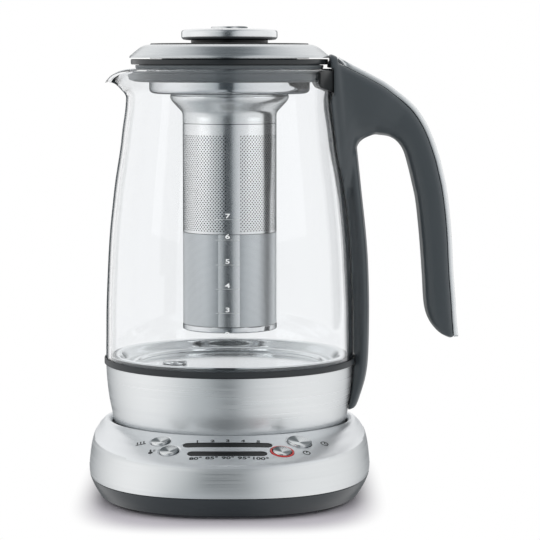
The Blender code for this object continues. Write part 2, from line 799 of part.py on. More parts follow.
TIMER_PLACE = (TIMER_ACROSS, -TIMER_FORWARD)
START_PLACE = (START_ACROSS, -START_FORWARD)
RING_WIDTH = 0.0009
RING_PROUD = 0.0002


def controls_frame(place):
    return place_on(panel_point(*place), panel_normal(*place))


def push_button(name, place, radius, flange_depth):
    """A cap on its own frame, with its origin on the panel and Z along its travel."""
    distance = on_board(*place)[1]
    stem_end = distance - SWITCH_HEIGHT - BUTTON_TRAVEL - TOUCH_GAP
    flange_radius = radius + TOUCH_GAP + FLANGE_WIDTH
    flange_end = flange_depth + FLANGE_THICKNESS
    section = [(0.0, BUTTON_PROUD), (radius - BUTTON_EDGE, BUTTON_PROUD),
               (radius, BUTTON_PROUD - BUTTON_EDGE), (radius, -flange_depth),
               (flange_radius, -flange_depth), (flange_radius, -flange_end),
               (STEM_RADIUS, -flange_end), (STEM_RADIUS, -stem_end), (0.0, -stem_end)]
    button = turned(name, section, polished_steel, SMALL_STEPS * 2, closed=False)
    button.matrix_world = controls_frame(place)
    return button


def panel_hole(name, place, radius, dish):
    section = [(0.0, CUT_OVERRUN), (radius + dish, CUT_OVERRUN), (radius + dish, -DISH_DEPTH),
               (radius, -DISH_DEPTH), (radius, -BASE_SHEET - CUT_OVERRUN), (0.0, -BASE_SHEET - CUT_OVERRUN)]
    if not dish:
        section = [section[0], section[1], section[4], section[5]]
    hole = turned_cutter(name, section, SMALL_STEPS * 2, closed=False)
    hole.matrix_world = controls_frame(place)
    boolean(COVER, hole)


def plain_button(name, place, radius):
    push_button(name, place, radius, BASE_SHEET + FLANGE_CLEARANCE)
    panel_hole(name + "_hole", place, radius + TOUCH_GAP, DISH_WIDTH)


def start_button():
    ring_inner = BUTTON_RADIUS + TOUCH_GAP
    ring_outer = ring_inner + RING_WIDTH
    flange_top = BASE_SHEET + FLANGE_CLEARANCE
    flange_low = flange_top + FLANGE_THICKNESS
    ring = turned("start_light_ring", [
        (ring_outer, RING_PROUD), (ring_outer, -flange_top), (ring_outer + FLANGE_WIDTH, -flange_top),
        (ring_outer + FLANGE_WIDTH, -flange_low), (ring_inner, -flange_low), (ring_inner, RING_PROUD)],
        lamp_red, SMALL_STEPS * 2)
    ring.matrix_world = controls_frame(START_PLACE)
    push_button("button_start", START_PLACE, BUTTON_RADIUS, flange_low + TOUCH_GAP)
    panel_hole("start_ring_hole", START_PLACE, ring_outer + TOUCH_GAP, 0.0)


def switch_into(bm, place):
    point = on_board(*place)[0]
    frame = Matrix.Translation(point) @ BOARD_FRAME.to_3x3().to_4x4()
    section = [(0.0, SWITCH_HEIGHT), (PLUNGER_RADIUS, SWITCH_HEIGHT),
               (PLUNGER_RADIUS, SWITCH_BODY_HEIGHT), (SWITCH_RADIUS, SWITCH_BODY_HEIGHT),
               (SWITCH_RADIUS, TOUCH_GAP), (0.0, TOUCH_GAP)]
    spin_into(bm, section, frame @ Matrix.Rotation(math.pi / 4, 4, "Z"), 4)


plain_button("button_keep_warm", KEEP_WARM_PLACE, BUTTON_RADIUS)
plain_button("button_temperature", TEMPERATURE_PLACE, BUTTON_RADIUS)
plain_button("button_timer", TIMER_PLACE, TIMER_BUTTON_RADIUS)
start_button()
series("tact_switch", black_plastic, (KEEP_WARM_PLACE, TEMPERATURE_PLACE, TIMER_PLACE, START_PLACE),
       switch_into)


# Windows: dark lens strips in the panel, with light guides and lamps under them

TIME_WINDOW_OUT = 0.0093
TIME_WINDOW_FORWARD = BASE_RIM_RADIUS + TIME_WINDOW_OUT
TIME_WINDOW_PLACE = -TIME_WINDOW_FORWARD
TIME_WINDOW_HALF = 0.0242
TEMPERATURE_WINDOW_OUT = 0.0195
TEMPERATURE_WINDOW_FORWARD = BASE_RIM_RADIUS + TEMPERATURE_WINDOW_OUT
TEMPERATURE_WINDOW_PLACE = -TEMPERATURE_WINDOW_FORWARD
TEMPERATURE_WINDOW_HALF = 0.0214
WINDOW_WIDTH = 0.0057
WINDOW_RECESS = 0.0003
LENS_THICKNESS = 0.0015
GUIDE_END = 0.0080
GUIDE_WIDTH = 0.0030
WINDOW_END_SHARES = (0.0, 0.12, 0.35, 0.65, 1.0)
WINDOW_MIDDLE_SHARES = (-0.6, -0.2, 0.2, 0.6)
LAMP_COUNT = 5
LAMP_SPACING = 0.0088
LAMP_SIZE = 0.0018
LAMP_HEIGHT = 0.0010
CARRIER_THICKNESS = 0.0004


def panel_strip_mesh(name, y, half_length, width, top, bottom):
    """A strip with round ends that follows the panel between two depths."""
    radius = width / 2
    straight = half_length - radius
    stations = [(-half_length + radius * share, radius * math.sqrt(max(1 - (1 - share) ** 2, 0.02)))
                for share in WINDOW_END_SHARES]
    stations += [(straight * share, radius) for share in WINDOW_MIDDLE_SHARES]
    stations += [(-x, half) for x, half in stations[len(WINDOW_END_SHARES) - 1::-1]]
    rings = []
    for x, half in stations:
        ring = []
        for side, depth in ((-1, top), (1, top), (1, bottom), (-1, bottom)):
            place = (x, y + side * half)
            ring.append(panel_point(*place) - panel_normal(0.0, y) * depth)
        rings.append(ring)
    return loft_mesh(name, rings, capped=True)


def panel_window(name, y, half_length):
    bottom = WINDOW_RECESS + LENS_THICKNESS
    lens = panel_strip_mesh(name, y, half_length, WINDOW_WIDTH, WINDOW_RECESS, bottom)
    add_piece(name, lens, smoke_lens)
    slot = panel_strip_mesh(name + "_slot", y, half_length + TOUCH_GAP, WINDOW_WIDTH + 2 * TOUCH_GAP,
                            -CUT_OVERRUN, BASE_SHEET + CUT_OVERRUN)
    boolean(COVER, add_cutter(name + "_slot", slot))


def light_guide():
    """Two clear bars joined by a bridge, from the lenses down towards the lamps."""
    top = WINDOW_RECESS + LENS_THICKNESS + TOUCH_GAP
    upper = panel_strip_mesh("light_guide", TIME_WINDOW_PLACE, TIME_WINDOW_HALF - GUIDE_WIDTH,
                             GUIDE_WIDTH, top, GUIDE_END)
    piece = add_piece("light_guide", upper, lamp_white)
    lower = panel_strip_mesh("lower_guide", TEMPERATURE_WINDOW_PLACE, TEMPERATURE_WINDOW_HALF - GUIDE_WIDTH,
                             GUIDE_WIDTH, top, GUIDE_END)
    boolean(piece, add_cutter("lower_guide", lower), "UNION")
    bm = bmesh.new()
    middle = (TIME_WINDOW_PLACE + TEMPERATURE_WINDOW_PLACE) / 2
    box_into(bm, (GUIDE_WIDTH * 2, TIME_WINDOW_PLACE - TEMPERATURE_WINDOW_PLACE, GUIDE_WIDTH),
             (0.0, 0.0, -(top + GUIDE_END) / 2), controls_frame((0.0, middle)))
    boolean(piece, add_cutter("guide_bridge", mesh_from("guide_bridge", bm)), "UNION")


def lamp_into(bm, place):
    frame = Matrix.Translation(on_board(*place)[0]) @ BOARD_FRAME.to_3x3().to_4x4()
    box_into(bm, (LAMP_SIZE, LAMP_SIZE, LAMP_HEIGHT), (0.0, 0.0, TOUCH_GAP + LAMP_HEIGHT / 2), frame)


def indicator_lights():
    """Two rows of lamps on one carrier, flat on the board."""
    high = on_board(0.0, TIME_WINDOW_PLACE)[0]
    low = on_board(0.0, TEMPERATURE_WINDOW_PLACE)[0]
    frame = Matrix.Translation((high + low) / 2) @ BOARD_FRAME.to_3x3().to_4x4()
    bm = bmesh.new()
    box_into(bm, ((LAMP_COUNT - 1) * LAMP_SPACING + LAMP_SIZE * 2, (high - low).length + LAMP_SIZE * 2,
                  CARRIER_THICKNESS), (0.0, 0.0, TOUCH_GAP + CARRIER_THICKNESS / 2), frame)
    piece = add_piece("indicator_lights", mesh_from("indicator_lights", bm), lamp_white)
    boolean(piece, group_cutter("lamps", lamp_places(), lamp_into), "UNION")


def lamp_places():
    middle = (LAMP_COUNT - 1) / 2
    return [((index - middle) * LAMP_SPACING, y)
            for y in (TIME_WINDOW_PLACE, TEMPERATURE_WINDOW_PLACE) for index in range(LAMP_COUNT)]


panel_window("time_window", TIME_WINDOW_PLACE, TIME_WINDOW_HALF)
panel_window("temperature_window", TEMPERATURE_WINDOW_PLACE, TEMPERATURE_WINDOW_HALF)
light_guide()
indicator_lights()


# Jug outline: the shares follow the glass from its foot up to its neck

SEAL_DEPTH = 0.0017           # how deep the glass sits in the dark ring
GLASS_FOOT_HEIGHT = SEAL_TOP_HEIGHT - SEAL_DEPTH
GLASS_SHARES = ((0.0, 1.0), (0.20, 0.967), (0.395, 0.862), (0.586, 0.659), (0.72, 0.455),
                (0.85, 0.215), (0.93, 0.07), (1.0, 0.0))
LIP_RISE_SHARES = ((0.40, 0.22), (0.80, 0.52), (1.0, 1.0))


def glass_outline():
    """(radius, height) points up the outside of the glass, from foot to neck."""
    return [(between(GLASS_NECK_RADIUS, GLASS_BOTTOM_RADIUS, out),
             between(GLASS_FOOT_HEIGHT, GLASS_NECK_HEIGHT, up)) for up, out in GLASS_SHARES]


def spout_weight(azimuth):
    """1 at the spout, -X, falling smoothly to 0 at its sides."""
    away = abs(math.remainder(azimuth + math.pi / 2, math.tau))
    limit = math.radians(SPOUT_HALF_ANGLE_DEGREES)
    return math.cos(away / limit * math.pi / 2) ** 2 if away < limit else 0.0


def jug_azimuths():
    return [math.tau * index / ROUND_STEPS for index in range(ROUND_STEPS)]


def lip_ring(rise, flare, inset):
    ring = []
    for azimuth in jug_azimuths():
        weight = spout_weight(azimuth)
        top = GLASS_RIM_HEIGHT - SPOUT_DROP * weight
        radius = GLASS_NECK_RADIUS + SPOUT_REACH * flare * weight - inset
        ring.append(at_azimuth(azimuth, radius, between(GLASS_NECK_HEIGHT, top, rise)))
    return ring


def round_ring(radius, height):
    return [at_azimuth(azimuth, radius, height) for azimuth in jug_azimuths()]


def glass_jug():
    outside = [lip_ring(rise, flare, 0.0) for rise, flare in LIP_RISE_SHARES[::-1]]
    outside += [round_ring(radius, height) for radius, height in glass_outline()[::-1]]
    inside = [round_ring(radius - GLASS_WALL, height) for radius, height in glass_outline()]
    inside += [lip_ring(rise, flare, GLASS_WALL) for rise, flare in LIP_RISE_SHARES]
    add_piece("glass_jug", loft_mesh("glass_jug", outside + inside, closed=True), clear_glass)


glass_jug()


# Heater base of the jug: steel shell, seals, pressed plate and what is under it

SEAL_FLOOR_HEIGHT = GLASS_FOOT_HEIGHT - TOUCH_GAP
SEAL_LIP = SEAL_RADIUS - GLASS_BOTTOM_RADIUS - TOUCH_GAP
PLATE_FLOOR_HEIGHT = SHELL_TOP_HEIGHT
PLATE_EDGE_GAP = 0.0015
PLATE_FLANGE_RADIUS = GLASS_BOTTOM_RADIUS - GLASS_WALL - PLATE_EDGE_GAP
PLATE_SHEET = 0.0008
PLATE_RISE = 0.0010           # flange above the dark ring
PLATE_TOP_HEIGHT = SEAL_TOP_HEIGHT + PLATE_RISE
GASKET_WIDTH = 0.0032
SEAL_INNER_RADIUS = PLATE_FLANGE_RADIUS - GASKET_WIDTH
PLATE_RIM = 0.0147
PLATE_FLOOR_RADIUS = PLATE_FLANGE_RADIUS - PLATE_RIM
SHELL_FOOT_GAP = 0.0040
SHELL_FOOT_RADIUS = TRAY_FLOOR_RADIUS - SHELL_FOOT_GAP
BOTTOM_COVER_THICKNESS = 0.0020
SHELL_FOOT_HEIGHT = JUG_FOOT_HEIGHT + BOTTOM_COVER_THICKNESS + TOUCH_GAP
SHELL_LIP = 0.0045
SHELL_LIP_RADIUS = SHELL_FOOT_RADIUS - SHELL_LIP
SHELL_SHARES = ((0.0, 1.0), (0.236, 0.953), (0.433, 0.874), (0.588, 0.772), (0.745, 0.661),
                (0.852, 0.528), (0.945, 0.300), (1.0, 0.0))
PLATE_SHARES = ((1.0, 1.0), (0.72, 1.0), (0.62, 0.50), (0.41, 0.54), (0.31, 0.17), (0.12, 0.30),
                (0.0, 0.0))
SENSOR_RADIUS = 0.0070
SENSOR_RISE = 0.0020
SENSOR_EDGE = 0.0008
SENSOR_STEM_RADIUS = 0.0045
SENSOR_STEM_LENGTH = 0.0100
SPREADER_THICKNESS = 0.0022
SPREADER_INSET = 0.0025
SPREADER_RADIUS = PLATE_FLOOR_RADIUS - SPREADER_INSET
SPREADER_HEIGHT = PLATE_FLOOR_HEIGHT - PLATE_SHEET - TOUCH_GAP - SPREADER_THICKNESS
ELEMENT_INSET = 0.0060
ELEMENT_RADIUS = SPREADER_RADIUS - ELEMENT_INSET
SENSOR_INSET = 0.0125         # from the ring of the heating element to the sensor
SENSOR_OUT = SENSOR_INSET - ELEMENT_RADIUS
SENSOR_FORWARD = -0.0062
SENSOR_PLACE = Matrix.Translation((SENSOR_OUT, SENSOR_FORWARD, 0.0))
ELEMENT_TUBE_RADIUS = 0.0033
ELEMENT_OPEN_DEGREES = 40
ELEMENT_POINTS = 28
ELEMENT_TAIL = 0.0120


def shell_outline():
    """(radius, height) points down the outside of the steel shell."""
    return [(between(SHELL_FOOT_RADIUS, SHELL_TOP_RADIUS, out),
             between(SHELL_TOP_HEIGHT, SHELL_FOOT_HEIGHT, down)) for down, out in SHELL_SHARES]


def heater_shell():
    path = shell_outline() + [(SHELL_LIP_RADIUS, SHELL_FOOT_HEIGHT)]
    return turned("heater_shell", sheet_section(path, SHELL_SHEET), brushed_steel)


def seal_ring():
    floor = SEAL_FLOOR_HEIGHT
    bottom = SHELL_TOP_HEIGHT + TOUCH_GAP
    turned("seal_ring", [
        (SEAL_RADIUS, SEAL_TOP_HEIGHT), (SEAL_RADIUS, bottom), (SEAL_INNER_RADIUS, bottom),
        (SEAL_INNER_RADIUS, floor), (SEAL_RADIUS - SEAL_LIP, floor),
        (SEAL_RADIUS - SEAL_LIP, SEAL_TOP_HEIGHT)], black_rubber)


def plate_gasket():
    outer = GLASS_BOTTOM_RADIUS - GLASS_WALL - TOUCH_GAP * 2
    top = PLATE_TOP_HEIGHT - PLATE_SHEET - TOUCH_GAP
    bottom = SEAL_FLOOR_HEIGHT + TOUCH_GAP
    turned("plate_gasket", [
        (outer, top), (outer, bottom), (SEAL_INNER_RADIUS, bottom), (SEAL_INNER_RADIUS, top)],
        grey_silicone)


def heating_plate():
    """A pressed steel disc with a dished floor and two raised ridges round it."""
    ridge = [(between(PLATE_FLOOR_RADIUS, PLATE_FLANGE_RADIUS, out),
              between(PLATE_FLOOR_HEIGHT, PLATE_TOP_HEIGHT, up)) for out, up in PLATE_SHARES]
    section = [(0.0, PLATE_FLOOR_HEIGHT)] + ridge[::-1]
    under = [(radius, height - PLATE_SHEET) for radius, height in section[::-1]]
    plate = turned("heating_plate", section + under, polished_steel, closed=False)
    hole = bmesh.new()
    cylinder_into(hole, SENSOR_STEM_RADIUS + TOUCH_GAP, SPREADER_HEIGHT, PLATE_TOP_HEIGHT,
                  SENSOR_PLACE, SMALL_STEPS * 2)
    boolean(plate, add_cutter("sensor_hole", mesh_from("sensor_hole", hole)))


def temperature_sensor():
    """A domed probe through the plate, held by its collar."""
    base = PLATE_FLOOR_HEIGHT + TOUCH_GAP
    top = base + SENSOR_RISE
    bm = bmesh.new()
    spin_into(bm, [(0.0, top), (SENSOR_RADIUS - SENSOR_EDGE, top), (SENSOR_RADIUS, top - SENSOR_EDGE),
                   (SENSOR_RADIUS, base), (SENSOR_STEM_RADIUS, base),
                   (SENSOR_STEM_RADIUS, base - SENSOR_STEM_LENGTH), (0.0, base - SENSOR_STEM_LENGTH)],
              SENSOR_PLACE, SMALL_STEPS * 2)
    bmesh.ops.recalc_face_normals(bm, faces=bm.faces[:])
    add_piece("temperature_sensor", mesh_from("temperature_sensor", bm), polished_steel)


def heat_spreader():
    top = SPREADER_HEIGHT + SPREADER_THICKNESS
    spreader = turned("heat_spreader", [
        (0.0, top), (SPREADER_RADIUS, top), (SPREADER_RADIUS, SPREADER_HEIGHT), (0.0, SPREADER_HEIGHT)],
        aluminium, TUBE_STEPS, closed=False)
    hole = bmesh.new()
    cylinder_into(hole, SENSOR_STEM_RADIUS + TOUCH_GAP, SPREADER_HEIGHT - CUT_OVERRUN,
                  PLATE_TOP_HEIGHT, SENSOR_PLACE, SMALL_STEPS * 2)
    boolean(spreader, add_cutter("spreader_hole", mesh_from("spreader_hole", hole)))


def curve_piece(name, points, radius, material, resolution=1):
    """A round tube along a list of points, with filled ends."""
    curve = bpy.data.curves.new(name, "CURVE")
    curve.dimensions = "3D"
    curve.bevel_depth = radius
    curve.bevel_resolution = resolution
    curve.use_fill_caps = True
    spline = curve.splines.new("POLY")
    spline.points.add(len(points) - 1)
    for point, place in zip(spline.points, points):
        point.co = (*place, 1.0)
    piece = bpy.data.objects.new(name, curve)
    curve.materials.append(material(name))
    PARTS.objects.link(piece)
    return piece


def heating_element():
    """A sheathed element bent to an open ring, its two tails turned down."""
    height = SPREADER_HEIGHT - TOUCH_GAP - ELEMENT_TUBE_RADIUS
    open_angle = math.radians(ELEMENT_OPEN_DEGREES)
    sweep = math.tau - open_angle
    ring = [at_azimuth(open_angle / 2 + sweep * index / ELEMENT_POINTS, ELEMENT_RADIUS, height)
            for index in range(ELEMENT_POINTS + 1)]
    bend = ELEMENT_TUBE_RADIUS
    tails = []
    for x, y, z in (ring[0], ring[-1]):
        toward = math.copysign(bend, -x)
        tails.append([(x + toward, y, z - bend / 2), (x + toward * 2, y, z - bend * 2),
                      (x + toward * 2, y, z - ELEMENT_TAIL)])
    points = tails[0][::-1] + ring + tails[1]
    curve_piece("heating_element", points, ELEMENT_TUBE_RADIUS, aluminium)


heater = heater_shell()
seal_ring()
plate_gasket()
heating_plate()
temperature_sensor()
heat_spreader()
heating_element()


# Jug's underside: socket, thermostat, bottom cover, bracket ring and screws

SOCKET_RADIUS = 0.0190
SOCKET_CLEARANCE = 0.0008     # round the post
SOCKET_ROOF = 0.0020
SOCKET_PRONG_RADIUS = 0.0012
SOCKET_PRONG_LENGTH = 0.0050
SOCKET_FOOT_GAP = 0.0006
THERMOSTAT_RADIUS = 0.0170
THERMOSTAT_WAIST = 0.0120
THERMOSTAT_STEP = 0.0100
BRACKET_THICKNESS = 0.0015
BRACKET_INSET = 0.0010
BRACKET_WIDTH = 0.0070
BRACKET_OUTER_RADIUS = SHELL_LIP_RADIUS - BRACKET_INSET
BRACKET_INNER_RADIUS = BRACKET_OUTER_RADIUS - BRACKET_WIDTH
JUG_SCREW_CIRCLE = (BRACKET_INNER_RADIUS + BRACKET_OUTER_RADIUS) / 2
JUG_SCREW_LENGTH = 0.0050
JUG_SCREW_HEAD_RADIUS = 0.0024
JUG_SCREW_HEAD_HEIGHT = 0.0010


def connector_socket():
    """The round socket over the post; its bore lets the jug turn all the way round."""
    bore = POST_RADIUS + SOCKET_CLEARANCE
    roof = POST_HEIGHT + TOUCH_GAP
    top = roof + SOCKET_ROOF
    foot = TRAY_FLOOR_HEIGHT + SOCKET_FOOT_GAP
    turned("connector_socket", [
        (0.0, top), (SOCKET_RADIUS, top), (SOCKET_RADIUS, foot), (bore, foot), (bore, roof),
        (SOCKET_PRONG_RADIUS, roof), (SOCKET_PRONG_RADIUS, roof - SOCKET_PRONG_LENGTH),
        (0.0, roof - SOCKET_PRONG_LENGTH)], black_plastic, TUBE_STEPS, closed=False)
    return top


def thermostat(bottom):
    top = SPREADER_HEIGHT - TOUCH_GAP
    turned("thermostat", [
        (0.0, top), (THERMOSTAT_WAIST, top), (THERMOSTAT_WAIST, bottom + THERMOSTAT_STEP),
        (THERMOSTAT_RADIUS, bottom + THERMOSTAT_STEP), (THERMOSTAT_RADIUS, bottom), (0.0, bottom)],
        black_plastic, SMALL_STEPS * 2, closed=False)


def jug_screw_sections():
    low = JUG_FOOT_HEIGHT + TOUCH_GAP
    high = low + JUG_SCREW_HEAD_HEIGHT
    tip = low + JUG_SCREW_LENGTH
    shank = SCREW_SHANK_RADIUS
    screw_section = [(0.0, tip), (shank, tip), (shank, high), (JUG_SCREW_HEAD_RADIUS, high),
                     (JUG_SCREW_HEAD_RADIUS, low), (0.0, low)]
    bore = shank + TOUCH_GAP
    sink = JUG_SCREW_HEAD_RADIUS + TOUCH_GAP
    hole_section = [(0.0, tip + CUT_OVERRUN), (bore, tip + CUT_OVERRUN), (bore, high + TOUCH_GAP),
                    (sink, high + TOUCH_GAP), (sink, low - CUT_OVERRUN), (0.0, low - CUT_OVERRUN)]
    return screw_section, hole_section


def jug_underside():
    cover_top = JUG_FOOT_HEIGHT + BOTTOM_COVER_THICKNESS
    cover = turned("jug_bottom_cover", [
        (SHELL_FOOT_RADIUS, cover_top), (SHELL_FOOT_RADIUS - BOTTOM_COVER_THICKNESS / 2, JUG_FOOT_HEIGHT),
        (SOCKET_RADIUS + TOUCH_GAP, JUG_FOOT_HEIGHT), (SOCKET_RADIUS + TOUCH_GAP, cover_top)],
        dark_plastic, TUBE_STEPS)
    low = cover_top + TOUCH_GAP
    bracket = turned("bracket_ring", [
        (BRACKET_OUTER_RADIUS, low + BRACKET_THICKNESS), (BRACKET_OUTER_RADIUS, low),
        (BRACKET_INNER_RADIUS, low), (BRACKET_INNER_RADIUS, low + BRACKET_THICKNESS)],
        polished_steel, TUBE_STEPS)
    screw_section, hole_section = jug_screw_sections()
    places = ring_places(JUG_SCREW_CIRCLE, 2, 90)
    series("jug_screw", polished_steel, places, lambda bm, place: spin_into(bm, screw_section, place))
    holes = group_cutter("jug_screw_holes", places, lambda bm, place: spin_into(bm, hole_section, place))
    boolean(cover, holes)
    boolean(bracket, holes)


thermostat(connector_socket() + TOUCH_GAP)
jug_underside()


# Handle: moulded spine against the jug, an open-ended grip and a steel trim over its back

HANDLE_RISE = 0.0001
HANDLE_TOP_HEIGHT = LID_BAND_TOP_HEIGHT + HANDLE_RISE
HANDLE_HOOK_RADIUS = LID_RADIUS + LID_RUNNING_GAP
TIP_RISE = 0.0148
GRIP_TIP_HEIGHT = SHELL_TOP_HEIGHT + TIP_RISE
GRIP_HALF_WIDTH = 0.0125
WEB_HALF_WIDTH = 0.0165
TRIM_THICKNESS = 0.0024
TRIM_HALF_WIDTH = 0.0105
TRIM_ROOT_SHARE = 0.06
SPINE_HALF_WIDTH = 0.0175
SPINE_CLEARANCE = 0.0054
SPINE_FOOT_HEIGHT = BASE_RIM_HEIGHT + SPINE_CLEARANCE
SPINE_DEPTH = 0.0088
SPINE_REACH = SHELL_TOP_RADIUS + SPINE_DEPTH
GRIP_STANDOFF = 0.0488        # from the spine's nose to the outer face of the moulded grip
HANDLE_REACH = SPINE_REACH + GRIP_STANDOFF
CLIP_HALF_ANGLE_DEGREES = 32.5
CLIP_THICKNESS = 0.0023
CLIP_RISE = 0.0020
CLIP_BOTTOM_HEIGHT = GLASS_NECK_HEIGHT + CLIP_RISE
CLIP_DROP = 0.0010
CLIP_TOP_HEIGHT = GLASS_RIM_HEIGHT - CLIP_DROP
CLIP_STATIONS = 11
GRIP_TIP_SHARE = 0.6          # the tip's width against the grip's
WEB_STATIONS = 6              # stations over which the web narrows to the grip

# Each station: outer face (out, up) and inner face (out, up), from the lid round to the tip
GRIP_SHARES = (
    (0.02, 1.0, 0.08, 0.660), (0.18, 0.970, 0.20, 0.690), (0.41, 0.916, 0.335, 0.728),
    (0.520, 0.877, 0.410, 0.728), (0.612, 0.838, 0.480, 0.722), (0.685, 0.797, 0.540, 0.705),
    (0.762, 0.737, 0.590, 0.672), (0.840, 0.657, 0.632, 0.612), (0.878, 0.595, 0.662, 0.555),
    (0.910, 0.521, 0.692, 0.490), (0.945, 0.397, 0.722, 0.368), (0.966, 0.241, 0.745, 0.235),
    (0.980, 0.145, 0.758, 0.139), (0.985, 0.105, 0.778, 0.088), (0.990, 0.068, 0.822, 0.048),
    (0.995, 0.033, 0.890, 0.017), (1.0, 0.004, 0.965, 0.0))
HANDLE_SECTION_SHARES = (
    (1.0, 0.86), (0.84, 0.98), (0.30, 1.0), (-0.55, 0.96), (-0.92, 0.70), (-1.0, 0.30))
# Spine: out and up of its nose, as shares of its reach beyond the lid and of its height
SPINE_SHARES = (
    (0.45, 0.0), (0.66, 0.006), (0.80, 0.045), (0.93, 0.100), (0.985, 0.165), (1.0, 0.275),
    (0.99, 0.356), (0.96, 0.440), (0.90, 0.522), (0.81, 0.615), (0.74, 0.690), (0.66, 0.770),
    (0.52, 0.880), (0.42, 0.960), (0.05, 0.990))


def handle_point(out, up):
    return Vector((between(HANDLE_HOOK_RADIUS, HANDLE_REACH, out), 0.0,
                   between(GRIP_TIP_HEIGHT, HANDLE_TOP_HEIGHT, up)))


def handle_ring(outer, inner, half_width):
    """The moulding's section between two points in the handle's plane: flat back, rounded front."""
    centre = (outer + inner) / 2
    reach = (outer - inner) / 2
    right = [centre + reach * along + Vector((0.0, half_width * across, 0.0))
             for along, across in HANDLE_SECTION_SHARES]
    left = [Vector((point.x, -point.y, point.z)) for point in right[::-1]]
    return right + left


def grip_half_width(index):
    if index == len(GRIP_SHARES) - 1:
        return GRIP_HALF_WIDTH * GRIP_TIP_SHARE
    return between(WEB_HALF_WIDTH, GRIP_HALF_WIDTH, min(index / WEB_STATIONS, 1.0))


def grip_rings():
    rings = []
    for index, (outer_out, outer_up, inner_out, inner_up) in enumerate(GRIP_SHARES):
        outer = handle_point(outer_out, outer_up)
        inner = handle_point(inner_out, inner_up)
        rings.append(handle_ring(outer, inner, grip_half_width(index)))
    return rings


def spine_rings():
    rings = []
    for out, up in SPINE_SHARES[::-1]:
        nose = between(HANDLE_HOOK_RADIUS, SPINE_REACH, out)
        height = between(SPINE_FOOT_HEIGHT, HANDLE_TOP_HEIGHT, up)
        root = Vector((GLASS_NECK_RADIUS / 2, 0.0, height))
        rings.append(handle_ring(Vector((nose, 0.0, height)), root, SPINE_HALF_WIDTH))
    return rings


def jug_envelope():
    """The outside of the jug with the touching gap, used to hollow what sits against it."""
    clip = (GLASS_NECK_RADIUS + CLIP_THICKNESS + TOUCH_GAP * 2) / math.cos(math.pi / ROUND_STEPS)
    top = HANDLE_TOP_HEIGHT + CUT_OVERRUN
    points = [(HANDLE_HOOK_RADIUS, top), (HANDLE_HOOK_RADIUS, GLASS_RIM_HEIGHT + TOUCH_GAP),
              (clip, GLASS_RIM_HEIGHT + TOUCH_GAP), (clip, CLIP_BOTTOM_HEIGHT - TOUCH_GAP)]
    points += [(radius + TOUCH_GAP, height) for radius, height in glass_outline()[::-1][1:-1]]
    ring = SEAL_RADIUS + TOUCH_GAP
    points += [(ring, SEAL_TOP_HEIGHT + TOUCH_GAP), (ring, SHELL_TOP_HEIGHT)]
    points += [(radius + TOUCH_GAP, height) for radius, height in shell_outline()[1:-2]]
    foot = points[-1][1]
    return turned_cutter("jug_envelope", [(0.0, top)] + points + [(0.0, foot)], closed=False)


def handle_body():
    body = add_piece("handle_body", loft_mesh("handle_body", grip_rings(), capped=True), dark_plastic)
    spine = add_cutter("handle_spine", loft_mesh("handle_spine", spine_rings(), capped=True))
    boolean(body, spine, "UNION")
    boolean(body, jug_envelope())
    return body


def grip_back():
    """(out, up) points along the back of the grip, as lengths in the handle's plane."""
    points = [handle_point(shares[0], shares[1]) for shares in GRIP_SHARES]
    root = (TRIM_ROOT_SHARE - GRIP_SHARES[0][0]) / (GRIP_SHARES[1][0] - GRIP_SHARES[0][0])
    start = handle_point(TRIM_ROOT_SHARE, between(GRIP_SHARES[0][1], GRIP_SHARES[1][1], root))
    return [(point.x, point.z) for point in [start] + points[1:]]


def handle_trim():
    """A steel strip along the back of the grip, its edges turned a little."""
    inner = offset_path(grip_back(), -TOUCH_GAP)
    shoulder = offset_path(grip_back(), -TOUCH_GAP - TRIM_THICKNESS / 2)
    outer = offset_path(grip_back(), -TOUCH_GAP - TRIM_THICKNESS)
    rings = []
    for index, (low, middle, high) in enumerate(zip(inner, shoulder, outer)):
        half = min(TRIM_HALF_WIDTH, grip_half_width(index) - TRIM_THICKNESS / 2)
        crown = half - TRIM_THICKNESS / 2
        corners = ((low, -half), (middle, -half), (high, -crown), (high, crown), (middle, half), (low, half))
        rings.append([(x, y, z) for (x, z), y in corners])
    add_piece("handle_trim", loft_mesh("handle_trim", rings, capped=True), brushed_steel)


def handle_rim_clip():
    """A collar that reaches from the handle round the outside of the glass neck."""
    inner = GLASS_NECK_RADIUS + TOUCH_GAP
    outer = inner + CLIP_THICKNESS
    half = math.radians(CLIP_HALF_ANGLE_DEGREES)
    rings = []
    for index in range(CLIP_STATIONS):
        azimuth = math.pi / 2 - half + 2 * half * index / (CLIP_STATIONS - 1)
        corners = ((inner, CLIP_TOP_HEIGHT), (outer, CLIP_TOP_HEIGHT), (outer, CLIP_BOTTOM_HEIGHT),
                   (inner, CLIP_BOTTOM_HEIGHT))
        rings.append([at_azimuth(azimuth, *corner) for corner in corners])
    add_piece("handle_rim_clip", loft_mesh("handle_rim_clip", rings, capped=True), black_plastic)


HANDLE_SCREW_RISE = 0.0123
HANDLE_SCREW_HEIGHT = SPINE_FOOT_HEIGHT + HANDLE_SCREW_RISE
HANDLE_SCREW_LENGTH = 0.0060


